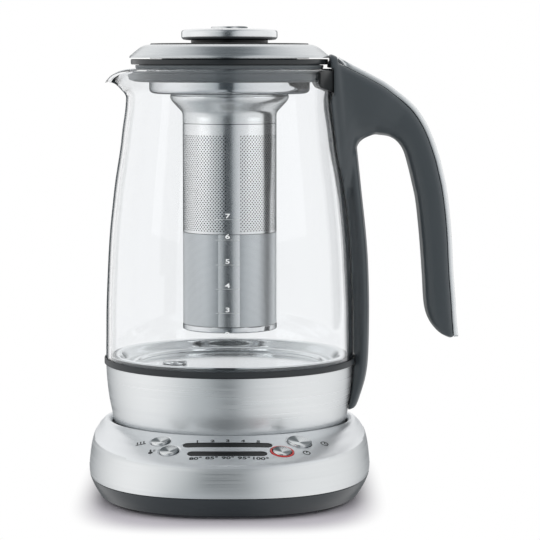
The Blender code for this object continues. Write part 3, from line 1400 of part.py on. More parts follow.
def handle_screw(body):
    """The hidden screw from inside the steel shell into the foot of the spine."""
    wall = SHELL_TOP_RADIUS - SHELL_SHEET * 3
    head_low = -SCREW_HEAD_HEIGHT - TOUCH_GAP
    turn = Matrix.Translation((wall, 0.0, HANDLE_SCREW_HEIGHT)) @ Matrix.Rotation(math.pi / 2, 4, "Y")
    bm = bmesh.new()
    spin_into(bm, screw_points(head_low, HANDLE_SCREW_LENGTH), turn)
    bmesh.ops.recalc_face_normals(bm, faces=bm.faces[:])
    add_piece("handle_screw", mesh_from("handle_screw", bm), polished_steel)
    hole = bmesh.new()
    cylinder_into(hole, SCREW_SHANK_RADIUS + TOUCH_GAP, 0.0, HANDLE_SCREW_LENGTH, turn)
    cutter = add_cutter("handle_screw_hole", mesh_from("handle_screw_hole", hole))
    boolean(body, cutter)
    boolean(heater, cutter)


handle = handle_body()
handle_trim()
handle_rim_clip()
handle_screw(handle)


# Lid: moulded body, its silicone gasket and the steel ring on top

SKIRT_CLEARANCE = 0.0049
LID_SKIRT_RADIUS = GLASS_NECK_RADIUS - GLASS_WALL - SKIRT_CLEARANCE
LID_SKIRT_WALL = 0.0025
LID_SKIRT = 0.0098
LID_SKIRT_BOTTOM_HEIGHT = LID_BAND_BOTTOM_HEIGHT - LID_SKIRT
LID_SHELF_THICKNESS = 0.0025
LID_SHELF = 0.0050
LID_MOUTH_RADIUS = COVER_RADIUS - LID_SHELF  # opening that the cover closes
LID_RING_SHEET = 0.0008
LID_RING_SHARES = ((0.0, 1.0), (0.19, 0.95), (0.43, 0.80), (0.63, 0.57), (0.86, 0.26), (1.0, 0.0))
GASKET_WALL = 0.0021
GASKET_NECK_RADIUS = LID_SKIRT_RADIUS + GASKET_WALL
GASKET_LIP_RADIUS = GLASS_NECK_RADIUS - GLASS_WALL - TOUCH_GAP
GASKET_LIP_THICKNESS = 0.0020
LUG_COUNT = 3
LUG_DEGREES = 24
LUG_STATIONS = 4
LUG_THICKNESS = 0.0018
LUG_RUNNING_GAP = 0.0004
DRUM_LUG_RADIUS = LID_SKIRT_RADIUS - LID_SKIRT_WALL - LUG_RUNNING_GAP
LID_LUG_RADIUS = DRUM_RADIUS + LUG_RUNNING_GAP
LUG_RISE = 0.0015
LID_LUG_HEIGHT = LID_SKIRT_BOTTOM_HEIGHT + LUG_RISE
TWIST_RANGE_DEGREES = 20


def lug_cutter(name, inner, outer, low, high, start_degrees):
    """Three short arcs of a ring, to be joined to the ring that carries them."""
    bm = bmesh.new()
    for lug in range(LUG_COUNT):
        rows = []
        for index in range(LUG_STATIONS):
            degrees = start_degrees + 360 * lug / LUG_COUNT + LUG_DEGREES * index / (LUG_STATIONS - 1)
            corners = ((inner, high), (outer, high), (outer, low), (inner, low))
            rows.append([bm.verts.new(at_azimuth(math.radians(degrees), *corner)) for corner in corners])
        for first, second in zip(rows, rows[1:]):
            for corner in range(len(first)):
                after = (corner + 1) % len(first)
                bm.faces.new((first[corner], first[after], second[after], second[corner]))
        bm.faces.new(rows[0][::-1])
        bm.faces.new(rows[-1])
    bmesh.ops.recalc_face_normals(bm, faces=bm.faces[:])
    return add_cutter(name, mesh_from(name, bm))


def lid_body():
    """A band that rests over the jug's mouth, a skirt inside it and a shelf for the cover."""
    skirt_inner = LID_SKIRT_RADIUS - LID_SKIRT_WALL
    shelf = LID_BAND_TOP_HEIGHT - LID_SHELF_THICKNESS
    body = turned("lid_body", [
        (LID_RADIUS, LID_BAND_TOP_HEIGHT), (LID_RADIUS, LID_BAND_BOTTOM_HEIGHT),
        (LID_SKIRT_RADIUS, LID_BAND_BOTTOM_HEIGHT), (LID_SKIRT_RADIUS, LID_SKIRT_BOTTOM_HEIGHT),
        (skirt_inner, LID_SKIRT_BOTTOM_HEIGHT), (skirt_inner, shelf), (LID_MOUTH_RADIUS, shelf),
        (LID_MOUTH_RADIUS, LID_BAND_TOP_HEIGHT)], dark_plastic)
    lugs = lug_cutter("lid_lugs", LID_LUG_RADIUS, LID_SKIRT_RADIUS - LID_SKIRT_WALL / 2,
                      LID_LUG_HEIGHT, LID_LUG_HEIGHT + LUG_THICKNESS, 0.0)
    boolean(body, lugs, "UNION")


def lid_gasket():
    inner = LID_SKIRT_RADIUS + TOUCH_GAP
    top = LID_BAND_BOTTOM_HEIGHT - TOUCH_GAP
    lip = LID_SKIRT_BOTTOM_HEIGHT + GASKET_LIP_THICKNESS
    turned("lid_gasket", [
        (GASKET_NECK_RADIUS, top), (GASKET_NECK_RADIUS, lip + GASKET_LIP_THICKNESS),
        (GASKET_LIP_RADIUS, lip),
        (GASKET_LIP_RADIUS, lip - GASKET_LIP_THICKNESS / 2), (GASKET_NECK_RADIUS, LID_SKIRT_BOTTOM_HEIGHT),
        (inner, LID_SKIRT_BOTTOM_HEIGHT), (inner, top)], grey_silicone)


def lid_trim_ring():
    """A spun steel ring, convex from its inner edge down to its rim."""
    inner = COVER_RADIUS + TOUCH_GAP
    path = [(inner, LID_BAND_TOP_HEIGHT + TOUCH_GAP)]
    path += [(between(inner, LID_RADIUS, out), between(LID_STEEL_HEIGHT, COVER_HEIGHT, up))
             for out, up in LID_RING_SHARES]
    turned("lid_trim_ring", sheet_section(path, LID_RING_SHEET), brushed_steel)


lid_body()
lid_gasket()
lid_trim_ring()


# Cover: the dark disc and knob that lift out of the lid

COVER_EDGE_THICKNESS = 0.0022
COVER_CROWN = 0.0012          # rise of the disc at the knob's neck
COVER_PLUG_GAP = 0.0015
COVER_PLUG_RADIUS = LID_MOUTH_RADIUS - COVER_PLUG_GAP
COVER_PLUG_WALL = 0.0020
COVER_PLUG_DEPTH = 0.0037
COVER_PLUG_BOTTOM_HEIGHT = LID_BAND_TOP_HEIGHT - COVER_PLUG_DEPTH
SEAL_CORD = 0.0012            # height and width of the cover's seal
KNOB_OVERHANG = 0.0055
NECK_RADIUS = KNOB_RADIUS - KNOB_OVERHANG
NECK_HEIGHT = 0.0020
KNOB_EDGE_HEIGHT = 0.0046
KNOB_DOME = 0.0014
CAP_RADIUS = 0.0104
CAP_HEIGHT = 0.0020
CAP_EDGE = 0.0005
KNOB_SCREW_LENGTH = 0.0100


def cover_disc():
    top = COVER_HEIGHT + COVER_CROWN
    under = COVER_HEIGHT - COVER_EDGE_THICKNESS
    disc = turned("cover_disc", [
        (0.0, top), (NECK_RADIUS, top), (COVER_RADIUS, COVER_HEIGHT), (COVER_RADIUS, under),
        (COVER_PLUG_RADIUS, under), (COVER_PLUG_RADIUS, COVER_PLUG_BOTTOM_HEIGHT),
        (COVER_PLUG_RADIUS - COVER_PLUG_WALL, COVER_PLUG_BOTTOM_HEIGHT),
        (COVER_PLUG_RADIUS - COVER_PLUG_WALL, under), (0.0, under)], dark_plastic, closed=False)
    return disc


def cover_seal():
    """A soft ring under the disc's edge, on the lid's shelf."""
    inner = COVER_PLUG_RADIUS + TOUCH_GAP
    high = COVER_HEIGHT - COVER_EDGE_THICKNESS - TOUCH_GAP
    outer = COVER_RADIUS - SEAL_CORD
    low = LID_BAND_TOP_HEIGHT + TOUCH_GAP
    turned("cover_seal", [
        (outer, high), (outer, high - SEAL_CORD), (inner + SEAL_CORD * 2, high - SEAL_CORD),
        (inner + SEAL_CORD * 2, low), (inner + SEAL_CORD, low), (inner, high)], grey_silicone)


def knob():
    neck_low = COVER_HEIGHT + COVER_CROWN + TOUCH_GAP
    neck_high = neck_low + NECK_HEIGHT - TOUCH_GAP
    disc_low = neck_high + TOUCH_GAP
    disc_high = disc_low + KNOB_EDGE_HEIGHT
    bore = SCREW_SHANK_RADIUS + TOUCH_GAP
    turned("knob_neck", [
        (NECK_RADIUS, neck_high), (NECK_RADIUS, neck_low), (bore, neck_low), (bore, neck_high)],
        black_plastic, TUBE_STEPS)
    cap_low = disc_high + KNOB_DOME + TOUCH_GAP
    turned("knob_disc", [
        (CAP_RADIUS, disc_high + KNOB_DOME), (KNOB_RADIUS - KNOB_DOME, disc_high),
        (KNOB_RADIUS, disc_high - KNOB_DOME / 2), (KNOB_RADIUS, disc_low + KNOB_DOME),
        (NECK_RADIUS + KNOB_DOME, disc_low), (bore, disc_low), (bore, disc_high + KNOB_DOME)],
        brushed_steel, TUBE_STEPS)
    turned("knob_cap", [
        (0.0, cap_low + CAP_HEIGHT), (CAP_RADIUS - CAP_EDGE, cap_low + CAP_HEIGHT),
        (CAP_RADIUS, cap_low + CAP_HEIGHT - CAP_EDGE), (CAP_RADIUS, cap_low), (0.0, cap_low)],
        polished_steel, SMALL_STEPS * 2, closed=False)
    return cap_low


def knob_screw(cap_low, disc):
    """The screw that holds the knob, driven from under the disc and hidden by it."""
    under = COVER_HEIGHT - COVER_EDGE_THICKNESS
    low = under - SCREW_HEAD_HEIGHT - TOUCH_GAP
    length = cap_low - TOUCH_GAP - low
    place = Matrix()
    bm = bmesh.new()
    spin_into(bm, screw_points(low, length), place)
    bmesh.ops.recalc_face_normals(bm, faces=bm.faces[:])
    add_piece("knob_screw", mesh_from("knob_screw", bm), polished_steel)
    hole = bmesh.new()
    cylinder_into(hole, SCREW_SHANK_RADIUS + TOUCH_GAP, under - CUT_OVERRUN, cap_low)
    boolean(disc, add_cutter("knob_screw_hole", mesh_from("knob_screw_hole", hole)))


cover_plate = cover_disc()
cover_seal()
knob_screw(knob(), cover_plate)


# Basket: polished drum that hooks into the lid, funnel, pierced tube, fine mesh and base

DRUM_TOP_HEIGHT = LID_BAND_TOP_HEIGHT - LID_SHELF_THICKNESS - TOUCH_GAP
DRUM_SHEET = 0.0010
DRUM_CORNER = 0.0030
FUNNEL_FLARE = 0.0068
FUNNEL_TOP_RADIUS = TUBE_RADIUS + FUNNEL_FLARE
FUNNEL_HEIGHT = 0.0105
FUNNEL_BOTTOM_HEIGHT = DRUM_BOTTOM_HEIGHT - FUNNEL_HEIGHT
FUNNEL_SHARES = ((1.0, 1.0), (1.0, 0.70), (0.85, 0.50), (0.42, 0.25), (0.14, 0.10), (0.0, 0.0))
TUBE_SHEET = 0.0008
FUNNEL_NECK = 0.0063          # plain neck under the funnel
SEAM_HEIGHT = FUNNEL_BOTTOM_HEIGHT - FUNNEL_NECK
BASKET_BAND = 0.0035          # height of the cap's band
BASKET_BAND_HEIGHT = TUBE_BOTTOM_HEIGHT + BASKET_BAND
FINE_MESH_SHARE = 0.459       # of the pierced tube's height
FINE_MESH_TOP_HEIGHT = between(BASKET_BAND_HEIGHT, SEAM_HEIGHT, FINE_MESH_SHARE)
BASKET_BASE_PROUD = 0.0002
BASKET_BASE_RADIUS = TUBE_RADIUS + BASKET_BASE_PROUD
BASKET_BASE_EDGE = 0.0012


def basket_drum():
    corner = DRUM_CORNER * (1 - math.sqrt(0.5))
    path = [(DRUM_RADIUS, DRUM_TOP_HEIGHT), (DRUM_RADIUS, DRUM_BOTTOM_HEIGHT + DRUM_CORNER),
            (DRUM_RADIUS - corner, DRUM_BOTTOM_HEIGHT + corner),
            (DRUM_RADIUS - DRUM_CORNER, DRUM_BOTTOM_HEIGHT),
            (FUNNEL_TOP_RADIUS - TUBE_SHEET, DRUM_BOTTOM_HEIGHT)]
    drum = turned("basket_drum", sheet_section(path, DRUM_SHEET), polished_steel)
    low = LID_LUG_HEIGHT + LUG_THICKNESS + LUG_RUNNING_GAP
    lugs = lug_cutter("drum_lugs", DRUM_RADIUS - DRUM_SHEET / 2, DRUM_LUG_RADIUS,
                      low, low + LUG_THICKNESS, 0.0)
    boolean(drum, lugs, "UNION")


def basket_funnel():
    top = DRUM_BOTTOM_HEIGHT - TOUCH_GAP
    path = [(between(TUBE_RADIUS, FUNNEL_TOP_RADIUS, out), between(FUNNEL_BOTTOM_HEIGHT, top, up))
            for out, up in FUNNEL_SHARES]
    path.append((TUBE_RADIUS, SEAM_HEIGHT))
    turned("basket_funnel", sheet_section(path, TUBE_SHEET), polished_steel, TUBE_STEPS)


def tube_part(name, high, low):
    turned(name, [(TUBE_RADIUS, high), (TUBE_RADIUS, low), (TUBE_RADIUS - TUBE_SHEET, low),
                  (TUBE_RADIUS - TUBE_SHEET, high)], polished_steel, TUBE_STEPS)


def basket_base():
    """A flanged cap on the tube's foot, with a flat sieve floor."""
    band_top = BASKET_BAND_HEIGHT - TOUCH_GAP
    bottom = TUBE_BOTTOM_HEIGHT
    floor = bottom + TUBE_SHEET
    inner = TUBE_RADIUS - TUBE_SHEET
    turned("basket_base", [
        (0.0, floor), (inner - BASKET_BASE_EDGE, floor), (inner, floor + BASKET_BASE_EDGE),
        (inner, band_top),
        (BASKET_BASE_RADIUS, band_top), (BASKET_BASE_RADIUS, bottom + BASKET_BASE_EDGE),
        (BASKET_BASE_RADIUS - BASKET_BASE_EDGE, bottom), (0.0, bottom)],
        polished_steel, TUBE_STEPS, closed=False)


basket_drum()
basket_funnel()
tube_part("basket_sieve", SEAM_HEIGHT - TOUCH_GAP, FINE_MESH_TOP_HEIGHT + TOUCH_GAP)
tube_part("basket_fine_mesh", FINE_MESH_TOP_HEIGHT, BASKET_BAND_HEIGHT)
basket_base()
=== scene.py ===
"""The looks of the automatic tea maker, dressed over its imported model. Metres, +Z up, -Y the front."""

import math

import bpy
from mathutils import Matrix, Vector


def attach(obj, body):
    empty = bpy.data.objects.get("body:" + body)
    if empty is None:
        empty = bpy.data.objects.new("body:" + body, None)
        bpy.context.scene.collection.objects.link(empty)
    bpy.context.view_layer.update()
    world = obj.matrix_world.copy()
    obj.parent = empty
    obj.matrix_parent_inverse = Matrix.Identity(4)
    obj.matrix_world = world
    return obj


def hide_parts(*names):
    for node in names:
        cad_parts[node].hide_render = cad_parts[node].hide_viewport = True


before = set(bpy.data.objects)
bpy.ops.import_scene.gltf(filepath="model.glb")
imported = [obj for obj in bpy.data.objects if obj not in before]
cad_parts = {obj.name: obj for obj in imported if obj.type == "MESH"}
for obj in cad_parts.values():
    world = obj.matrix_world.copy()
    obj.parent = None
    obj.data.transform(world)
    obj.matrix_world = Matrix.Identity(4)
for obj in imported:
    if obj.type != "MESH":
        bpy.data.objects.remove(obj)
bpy.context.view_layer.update()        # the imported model, one object for each node


# Studio: a long lens at the height of the lid, a pale floor that fades to white, and a room of
# broad panels. What metal reflects is dark in front, grey overhead, bright at both sides and white
# behind. The tones run from left to right, in three bands of height. Dark flags draw the edges:
# two behind are mirrored but not seen through the glass, and thin ones beside are seen through it.

CAMERA_PLACE = (0.0231, -1.3075, 0.2445)
CAMERA_PITCH_DEGREES = 84.697
CAMERA_LENS_MM = 152.27
SENSOR_MM = 36
FLOOR_HEIGHT = -0.002
FLOOR_HALF = 3.0
FOOTPRINT = (0.066, 0.106, 1.0)     # the shadow's half width and half depth
FLOOR_CLEAR = 1.04          # inside this many footprints the floor takes the shadow
FLOOR_FADE = 1.36           # at this many it has turned white
LAMP_AIM = (0.0, 0.0, 0.10)
ROOM_RANGES = (             # where each share of the room starts and is full, along a direction's axis
    ("Z", -0.40, -0.15, "LINEAR"), ("Z", 0.20, 0.55, "LINEAR"), ("Y", 0.20, 0.75, "SMOOTHSTEP"),
    ("Z", 0.96, 0.72, "LINEAR"), ("Z", 0.30, 0.15, "LINEAR"))
LEVEL_TONES = ((0.0, "#ffffff"), (0.03, "#fbfbfb"), (0.085, "#eeefef"), (0.15, "#e0e2e3"),
               (0.213, "#d4d7d8"), (0.30, "#bec3c5"), (0.365, "#a4aaad"), (0.395, "#4f5559"),
               (0.46, "#3b4145"), (0.545, "#4a5054"), (0.575, "#a0a6a9"), (0.64, "#c6cacc"),
               (0.71, "#dadcde"), (0.856, "#ecedee"), (1.0, "#f2f3f3"))
LOW_TONES = ((0.0, "#ffffff"), (0.10, "#f2f3f4"), (0.15, "#d8dbdd"), (0.20, "#bec3c6"), (0.30, "#b8bdc0"),
             (0.42, "#b4b9bc"), (0.465, "#a0a6aa"), (0.49, "#454b4f"), (0.53, "#454b4f"), (0.56, "#a6abae"),
             (0.61, "#c8cccf"), (0.68, "#d6d9da"), (0.78, "#e8e9ea"), (0.90, "#f4f5f5"), (1.0, "#f8f8f9"))
HIGH_TONES = ((0.0, "#f4f5f5"), (0.30, "#dcdedf"), (0.352, "#cccfd1"), (0.381, "#9fa4a8"),
              (0.416, "#7d8387"), (0.456, "#686e72"), (0.50, "#5e6468"), (0.565, "#757b7f"),
              (0.605, "#92989c"), (0.635, "#bcc0c3"), (0.66, "#d6d8da"), (1.0, "#f4f5f5"))
FLAG_TONES = ((0.0, "#ffffff"), (0.285, "#ffffff"), (0.32, "#4c5357"), (0.41, "#4c5357"), (0.43, "#ffffff"),
              (0.57, "#ffffff"), (0.59, "#4c5357"), (0.68, "#4c5357"), (0.715, "#ffffff"), (1.0, "#ffffff"))
EDGE_TONES = ((0.0, "#ffffff"), (0.02, "#4c5357"), (0.20, "#4c5357"), (0.27, "#ffffff"), (1.0, "#ffffff"))


def linear(code):
    """A colour written as sRGB hex, in linear light."""
    shades = [int(code[start:start + 2], 16) / 255 for start in (1, 3, 5)]
    return (*[c / 12.92 if c <= 0.04045 else ((c + 0.055) / 1.055) ** 2.4 for c in shades], 1.0)


def feed(node, inputs):
    """Fill a node's sockets, each from a value, an output, or a node whose first output is meant."""
    for key, value in inputs.items():
        if isinstance(value, bpy.types.Node):
            value = next(output for output in value.outputs if output.enabled)
        if isinstance(value, bpy.types.NodeSocket):
            node.id_data.links.new(value, node.inputs[key])
        else:
            node.inputs[key].default_value = value


def add_node(tree, kind, inputs=None, **settings):
    """Add a shader node. Settings are its properties, and inputs feed its sockets."""
    node = tree.nodes.new("ShaderNode" + kind)
    for key, value in settings.items():
        setattr(node, key, value)
    feed(node, inputs or {})
    return node


def fill_ramp(ramp, tones):
    """Set a colour ramp's stops from (place, hex colour) pairs."""
    stops = ramp.color_ramp.elements
    while len(stops) < len(tones):
        stops.new(1.0)
    for stop, (place, tone) in zip(stops, tones):
        stop.position = place
        stop.color = linear(tone)


camera_data = bpy.data.cameras.new("camera")
camera_data.lens = CAMERA_LENS_MM
camera_data.sensor_width = SENSOR_MM
camera = bpy.data.objects.new("camera", camera_data)
camera.location = CAMERA_PLACE
camera.rotation_euler = (math.radians(CAMERA_PITCH_DEGREES), 0.0, 0.0)
bpy.context.scene.collection.objects.link(camera)
bpy.context.scene.camera = camera
bpy.context.scene.view_settings.view_transform = "Standard"

world = bpy.data.worlds.new("studio")
bpy.context.scene.world = world
world.use_nodes = True
room = world.node_tree
room.nodes.clear()
direction = add_node(room, "SeparateXYZ", {"Vector": add_node(room, "TexCoord").outputs["Generated"]})
across = add_node(room, "MapRange", {"Value": direction.outputs["X"], "From Min": -1.0})
bands = []
for along, tones in ((across, LOW_TONES), (across, LEVEL_TONES), (across, HIGH_TONES), (across, FLAG_TONES),
                     (direction.outputs["Y"], EDGE_TONES)):
    bands.append(add_node(room, "ValToRGB", {"Fac": along}))
    fill_ramp(bands[-1], tones)
low, level, high, flags, beside = bands
lifted, raised, behind, below, flag_height = [
    add_node(room, "MapRange", {"Value": direction.outputs[axis], "From Min": start, "From Max": end},
             interpolation_type=ease) for axis, start, end, ease in ROOM_RANGES]
path = add_node(room, "LightPath")
bounced = add_node(room, "Math", {0: path.outputs["Glossy Depth"], 1: 1.0}, operation="MINIMUM")
straight = add_node(room, "Math", {0: 1.0, 1: bounced}, operation="SUBTRACT")
backdrop = add_node(room, "Math", {0: behind, 1: below}, operation="MULTIPLY")
mirrored = add_node(room, "Math", {0: flag_height, 1: bounced}, operation="MULTIPLY")
white = linear("#ffffff")
paper_back = add_node(room, "Mix", {"Factor": mirrored, "A": white, "B": flags}, data_type="RGBA")
seen = low
for share, layer, blend in ((lifted, level, "MIX"), (raised, high, "MIX"), (backdrop, paper_back, "MIX"),
                            (straight, beside, "MULTIPLY"), (path.outputs["Is Camera Ray"], white, "MIX")):
    seen = add_node(room, "Mix", {"Factor": share, "A": seen, "B": layer}, data_type="RGBA",
                    blend_type=blend)
glow = add_node(room, "Background", {"Color": seen, "Strength": 1.0})
add_node(room, "OutputWorld", {"Surface": glow})


def softbox(name, place, size, power):
    """A square lamp that faces the middle of the tea maker and isn't mirrored in the metal."""
    lamp = bpy.data.lights.new(name, "AREA")
    lamp.shape = "SQUARE"
    lamp.size = size
    lamp.energy = power
    box = bpy.data.objects.new(name, lamp)
    box.location = place
    box.rotation_euler = (Vector(place) - Vector(LAMP_AIM)).to_track_quat("Z", "Y").to_euler()
    box.visible_glossy = False
    bpy.context.scene.collection.objects.link(box)


softbox("lamp_above", (0.0, -0.25, 1.30), 1.1, 5.5)
softbox("lamp_left", (-1.10, -0.55, 0.60), 0.8, 2.2)
softbox("lamp_right", (1.10, -0.55, 0.60), 0.8, 2.2)

bpy.ops.object.select_all(action="DESELECT")
bpy.ops.mesh.primitive_plane_add(size=2 * FLOOR_HALF, location=(0.0, 0.0, FLOOR_HEIGHT))
floor = bpy.context.object
floor.name = "floor"
# Paper sweep, matt near the base, where it takes the real soft shadow round it; its lavender grey
# colour there is a painted shade that deepens and tints that shadow. Beyond the footprint it glows an even
# white.
paper = bpy.data.materials.new("white_paper_sweep")
paper.use_nodes = True
tree = paper.node_tree
tree.nodes.clear()
reach = add_node(tree, "VectorMath", {
    0: add_node(tree, "TexCoord").outputs["Object"], 1: FOOTPRINT}, operation="DIVIDE")
square = add_node(tree, "VectorMath", {0: reach, 1: reach}, operation="MULTIPLY")
fourth = add_node(tree, "VectorMath", {0: square, 1: square}, operation="DOT_PRODUCT")
spot = add_node(tree, "Math", {0: fourth, 1: 0.25}, operation="POWER")
fade = add_node(tree, "MapRange", {
    "Value": spot, "From Min": FLOOR_CLEAR, "From Max": FLOOR_FADE}, interpolation_type="SMOOTHSTEP")
matt = add_node(tree, "BsdfDiffuse", {"Color": linear("#d0cbd1")})
lit = add_node(tree, "Emission", {"Color": linear("#ffffff"), "Strength": 1.0})
sweep = add_node(tree, "MixShader", {"Fac": fade, 1: matt, 2: lit})
add_node(tree, "OutputMaterial", {"Surface": sweep})
floor.data.materials.append(paper)
floor.visible_glossy = False
floor.visible_transmission = False


# Base cover: brushed stainless sheet, deep drawn in one piece, with the rim of the round well
# turned down inside. The panel slopes to a soft crease in front and rolls over at the sides.

RIM_RADIUS = 0.0694
RIM_HEIGHT = 0.0383
RIM_FOLD = ((-0.0016, -0.0026), (-0.0014, -0.0019), (-0.0009, -0.0011), (-0.0003, -0.0005), (0.0006, 0.0))
SEAM_HEIGHT = 0.0102
STEEL_SHEET = 0.0010
AROUND = 180                # facets round the base
CREASE_PLAN = (0.0775, 0.1050, 0.0785, 2.35)    # half width, reach in front and behind, squareness
SEAM_PLAN = (0.0799, 0.1060, 0.0812, 2.5)
CREASE_SIDE = 0.0309        # the crease's height at the sides and the back
CREASE_FRONT = 0.0274
SIDE_FALL = ((0.0, 0.0), (0.38, 0.11), (0.72, 0.51), (1.0, 1.0))    # share of the way out, share of the drop
WALL_BULGE = 0.0011
WALL_STATIONS = ((0.990, 0.004, 0.10), (0.999, 0.022, 0.25), (1.0, 0.06, 0.42), (1.0, 0.12, 0.58),
                 (1.0, 0.21, 0.80), (1.0, 0.32, 0.93), (1.0, 0.45, 1.0), (1.0, 0.63, 0.96),
                 (1.0, 0.81, 0.87), (1.0, 0.93, 0.45), (1.0, 1.0, 0.0))
FRONT_ROLL = ((-0.0014, 0.0003), (-0.0005, -0.0003), (0.0001, -0.0011), (0.0006, -0.0019), (0.0010, -0.0033),
              (0.0013, -0.0055))


def between(low_value, high_value, share):
    return low_value + (high_value - low_value) * share


def plan_radius(azimuth, side, front, back, power):
    """Radius of the base's squared-off outline at an angle from the front."""
    depth = front if math.cos(azimuth) > 0 else back
    across_share = abs(math.sin(azimuth)) / side
    along_share = abs(math.cos(azimuth)) / depth
    return (across_share ** power + along_share ** power) ** (-1 / power)


def crease_radius(azimuth):
    return plan_radius(azimuth, *CREASE_PLAN)


def seam_radius(azimuth):
    return plan_radius(azimuth, *SEAM_PLAN)


def frontness(azimuth):
    """1 straight in front, 0 from the sides backwards."""
    return max(math.cos(azimuth), 0.0) ** 2


def crease_height(azimuth):
    return between(CREASE_SIDE, CREASE_FRONT, frontness(azimuth))


def panel_drop(out, azimuth):
    """How far down the panel is at a share of the way out: straight in front, rolled at the sides."""
    side = out
    for (out_low, drop_low), (out_high, drop_high) in zip(SIDE_FALL, SIDE_FALL[1:]):
        if out_low <= out <= out_high:
            side = between(drop_low, drop_high, (out - out_low) / (out_high - out_low))
    return between(side, out, frontness(azimuth))


def at_azimuth(azimuth, radius, height):
    return Vector((radius * math.sin(azimuth), -radius * math.cos(azimuth), height))


def azimuth_of(point):
    """The angle of a point round the axis, from the front towards the right."""
    return math.atan2(point.x, -point.y)


def panel_point(x, y):
    """The point of the panel's surface above a place in plan."""
    azimuth = math.atan2(x, -y)
    out = (math.hypot(x, y) - RIM_RADIUS) / (crease_radius(azimuth) - RIM_RADIUS)
    return Vector((x, y, between(RIM_HEIGHT, crease_height(azimuth), panel_drop(out, azimuth))))


def panel_frame(x, y, sink=0.0):
    """A place on the panel, with X to the right, Y uphill and Z out of the steel."""
    step = 0.001
    right = (panel_point(x + step, y) - panel_point(x - step, y)).normalized()
    uphill = panel_point(x, y + step) - panel_point(x, y - step)
    normal = right.cross(uphill).normalized()
    turn = Matrix((right, normal.cross(right), normal)).transposed().to_4x4()
    return Matrix.Translation(panel_point(x, y) - normal * sink) @ turn


def mesh_piece(name, verts, faces):
    mesh = bpy.data.meshes.new(name)
    mesh.from_pydata(verts, [], faces)
    piece = bpy.data.objects.new(name, mesh)
    bpy.context.scene.collection.objects.link(piece)
    return piece


def lofted(name, rings, closed=False):
    """A skin over rings of equal count that run down the outside of a form."""
    verts = [point for ring in rings for point in ring]
    count = len(rings[0])
    rows = list(range(len(rings) - 1)) + ([len(rings) - 1] if closed else [])
    faces = []
    for row in rows:
        after = (row + 1) % len(rings)
        for index in range(count):
            step = (index + 1) % count
            faces.append((row * count + index, after * count + index, after * count + step,
                          row * count + step))
    return mesh_piece(name, verts, faces)


def pick(piece):
    """Make one object the only one selected, and active."""
    bpy.ops.object.select_all(action="DESELECT")
    piece.select_set(True)
    bpy.context.view_layer.objects.active = piece


def modify(piece, kind, **settings):
    """Add a modifier with its settings and apply it."""
    pick(piece)
    modifier = piece.modifiers.new(kind.lower(), kind)
    for key, value in settings.items():
        setattr(modifier, key, value)
    bpy.ops.object.modifier_apply(modifier=modifier.name)


def finish_piece(piece, material, body, nodes, smooth_degrees=35):
    """Shade a piece, give it its material and let it ride in place of its CAD nodes."""
    pick(piece)
    piece.data.materials.clear()
    piece.data.materials.append(material)
    bpy.ops.object.shade_smooth_by_angle(angle=math.radians(smooth_degrees))
    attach(piece, body)
    if nodes:
        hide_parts(*nodes)


def second_finish(piece, material, chosen):
    """Give the faces that are chosen another material."""
    piece.data.materials.append(material)
    for face in piece.data.polygons:
        if chosen(face):
            face.material_index = 1


def new_material(name, colour, roughness, metallic=0.0, **extra):
    """A material whose plain values sit on the shader itself. Returns it, its nodes and its shader."""
    material = bpy.data.materials.new(name)
    material.use_nodes = True
    shader = material.node_tree.nodes["Principled BSDF"]
    feed(shader, {"Base Color": linear(colour), "Roughness": roughness, "Metallic": metallic})
    feed(shader, {key.replace("_", " "): value for key, value in extra.items()})
    return material, material.node_tree, shader


def brushed_stainless(name, lines, colour="#eef0f1", roughness=0.24, grain=0.06, edge="#ffffff"):
    """Stainless steel, linished: fine strokes that draw each highlight out into a soft band across them.

    Lines gives the strokes to the metre on X, Y and Z. Real ones lie a few hundredths of a millimetre
    apart, and these are drawn about ten times as coarse, so that they show. Edge is a darker tint that
    the steel takes where it turns away: a painted shade, standing in for dark surroundings mirrored there.
    """
    material, tree, shader = new_material(name, colour, roughness, 1.0, Anisotropic=0.35,
                                          Specular_Tint=linear(edge))
    place = add_node(tree, "Mapping", {
        "Vector": add_node(tree, "TexCoord").outputs["Object"], "Scale": lines})
    strokes = add_node(tree, "TexNoise", {"Vector": place, "Scale": 1.0, "Detail": 2.0, "Roughness": 0.5})
    depth = add_node(tree, "MapRange", {
        "Value": strokes, "From Min": 0.3, "From Max": 0.7,
        "To Min": roughness - grain, "To Max": roughness + grain})
    feed(shader, {"Roughness": depth})
    relief = add_node(tree, "Bump", {"Height": strokes, "Strength": 0.08, "Distance": 0.00005})
    feed(shader, {"Normal": relief})
    return material


def cover_rings():
    """Rings down the cover: the fold in the well, the rim, the panel, the crease and the wall."""
    angles = [math.tau * index / AROUND for index in range(AROUND)]
    rings = [[at_azimuth(a, RIM_RADIUS + out, RIM_HEIGHT + up) for a in angles] for out, up in RIM_FOLD]
    for step in range(1, 10):
        out = step / 10 + 0.02
        rings.append([
            at_azimuth(a, between(RIM_RADIUS, crease_radius(a), out),
                       between(RIM_HEIGHT, crease_height(a), panel_drop(out, a))) for a in angles])
    for index, (out, down, bulge) in enumerate(WALL_STATIONS):
        ring = []
        for a in angles:
            top = between(RIM_RADIUS, crease_radius(a), out)
            radius = between(top, seam_radius(a), down) + WALL_BULGE * bulge
            height = between(crease_height(a), SEAM_HEIGHT, down)
            if index < len(FRONT_ROLL):
                reach, rise = FRONT_ROLL[index]
                radius = between(radius, crease_radius(a) + reach, frontness(a))
                height = between(height, crease_height(a) + rise, frontness(a))
            ring.append(at_azimuth(a, radius, height))
        rings.append(ring)
    return rings
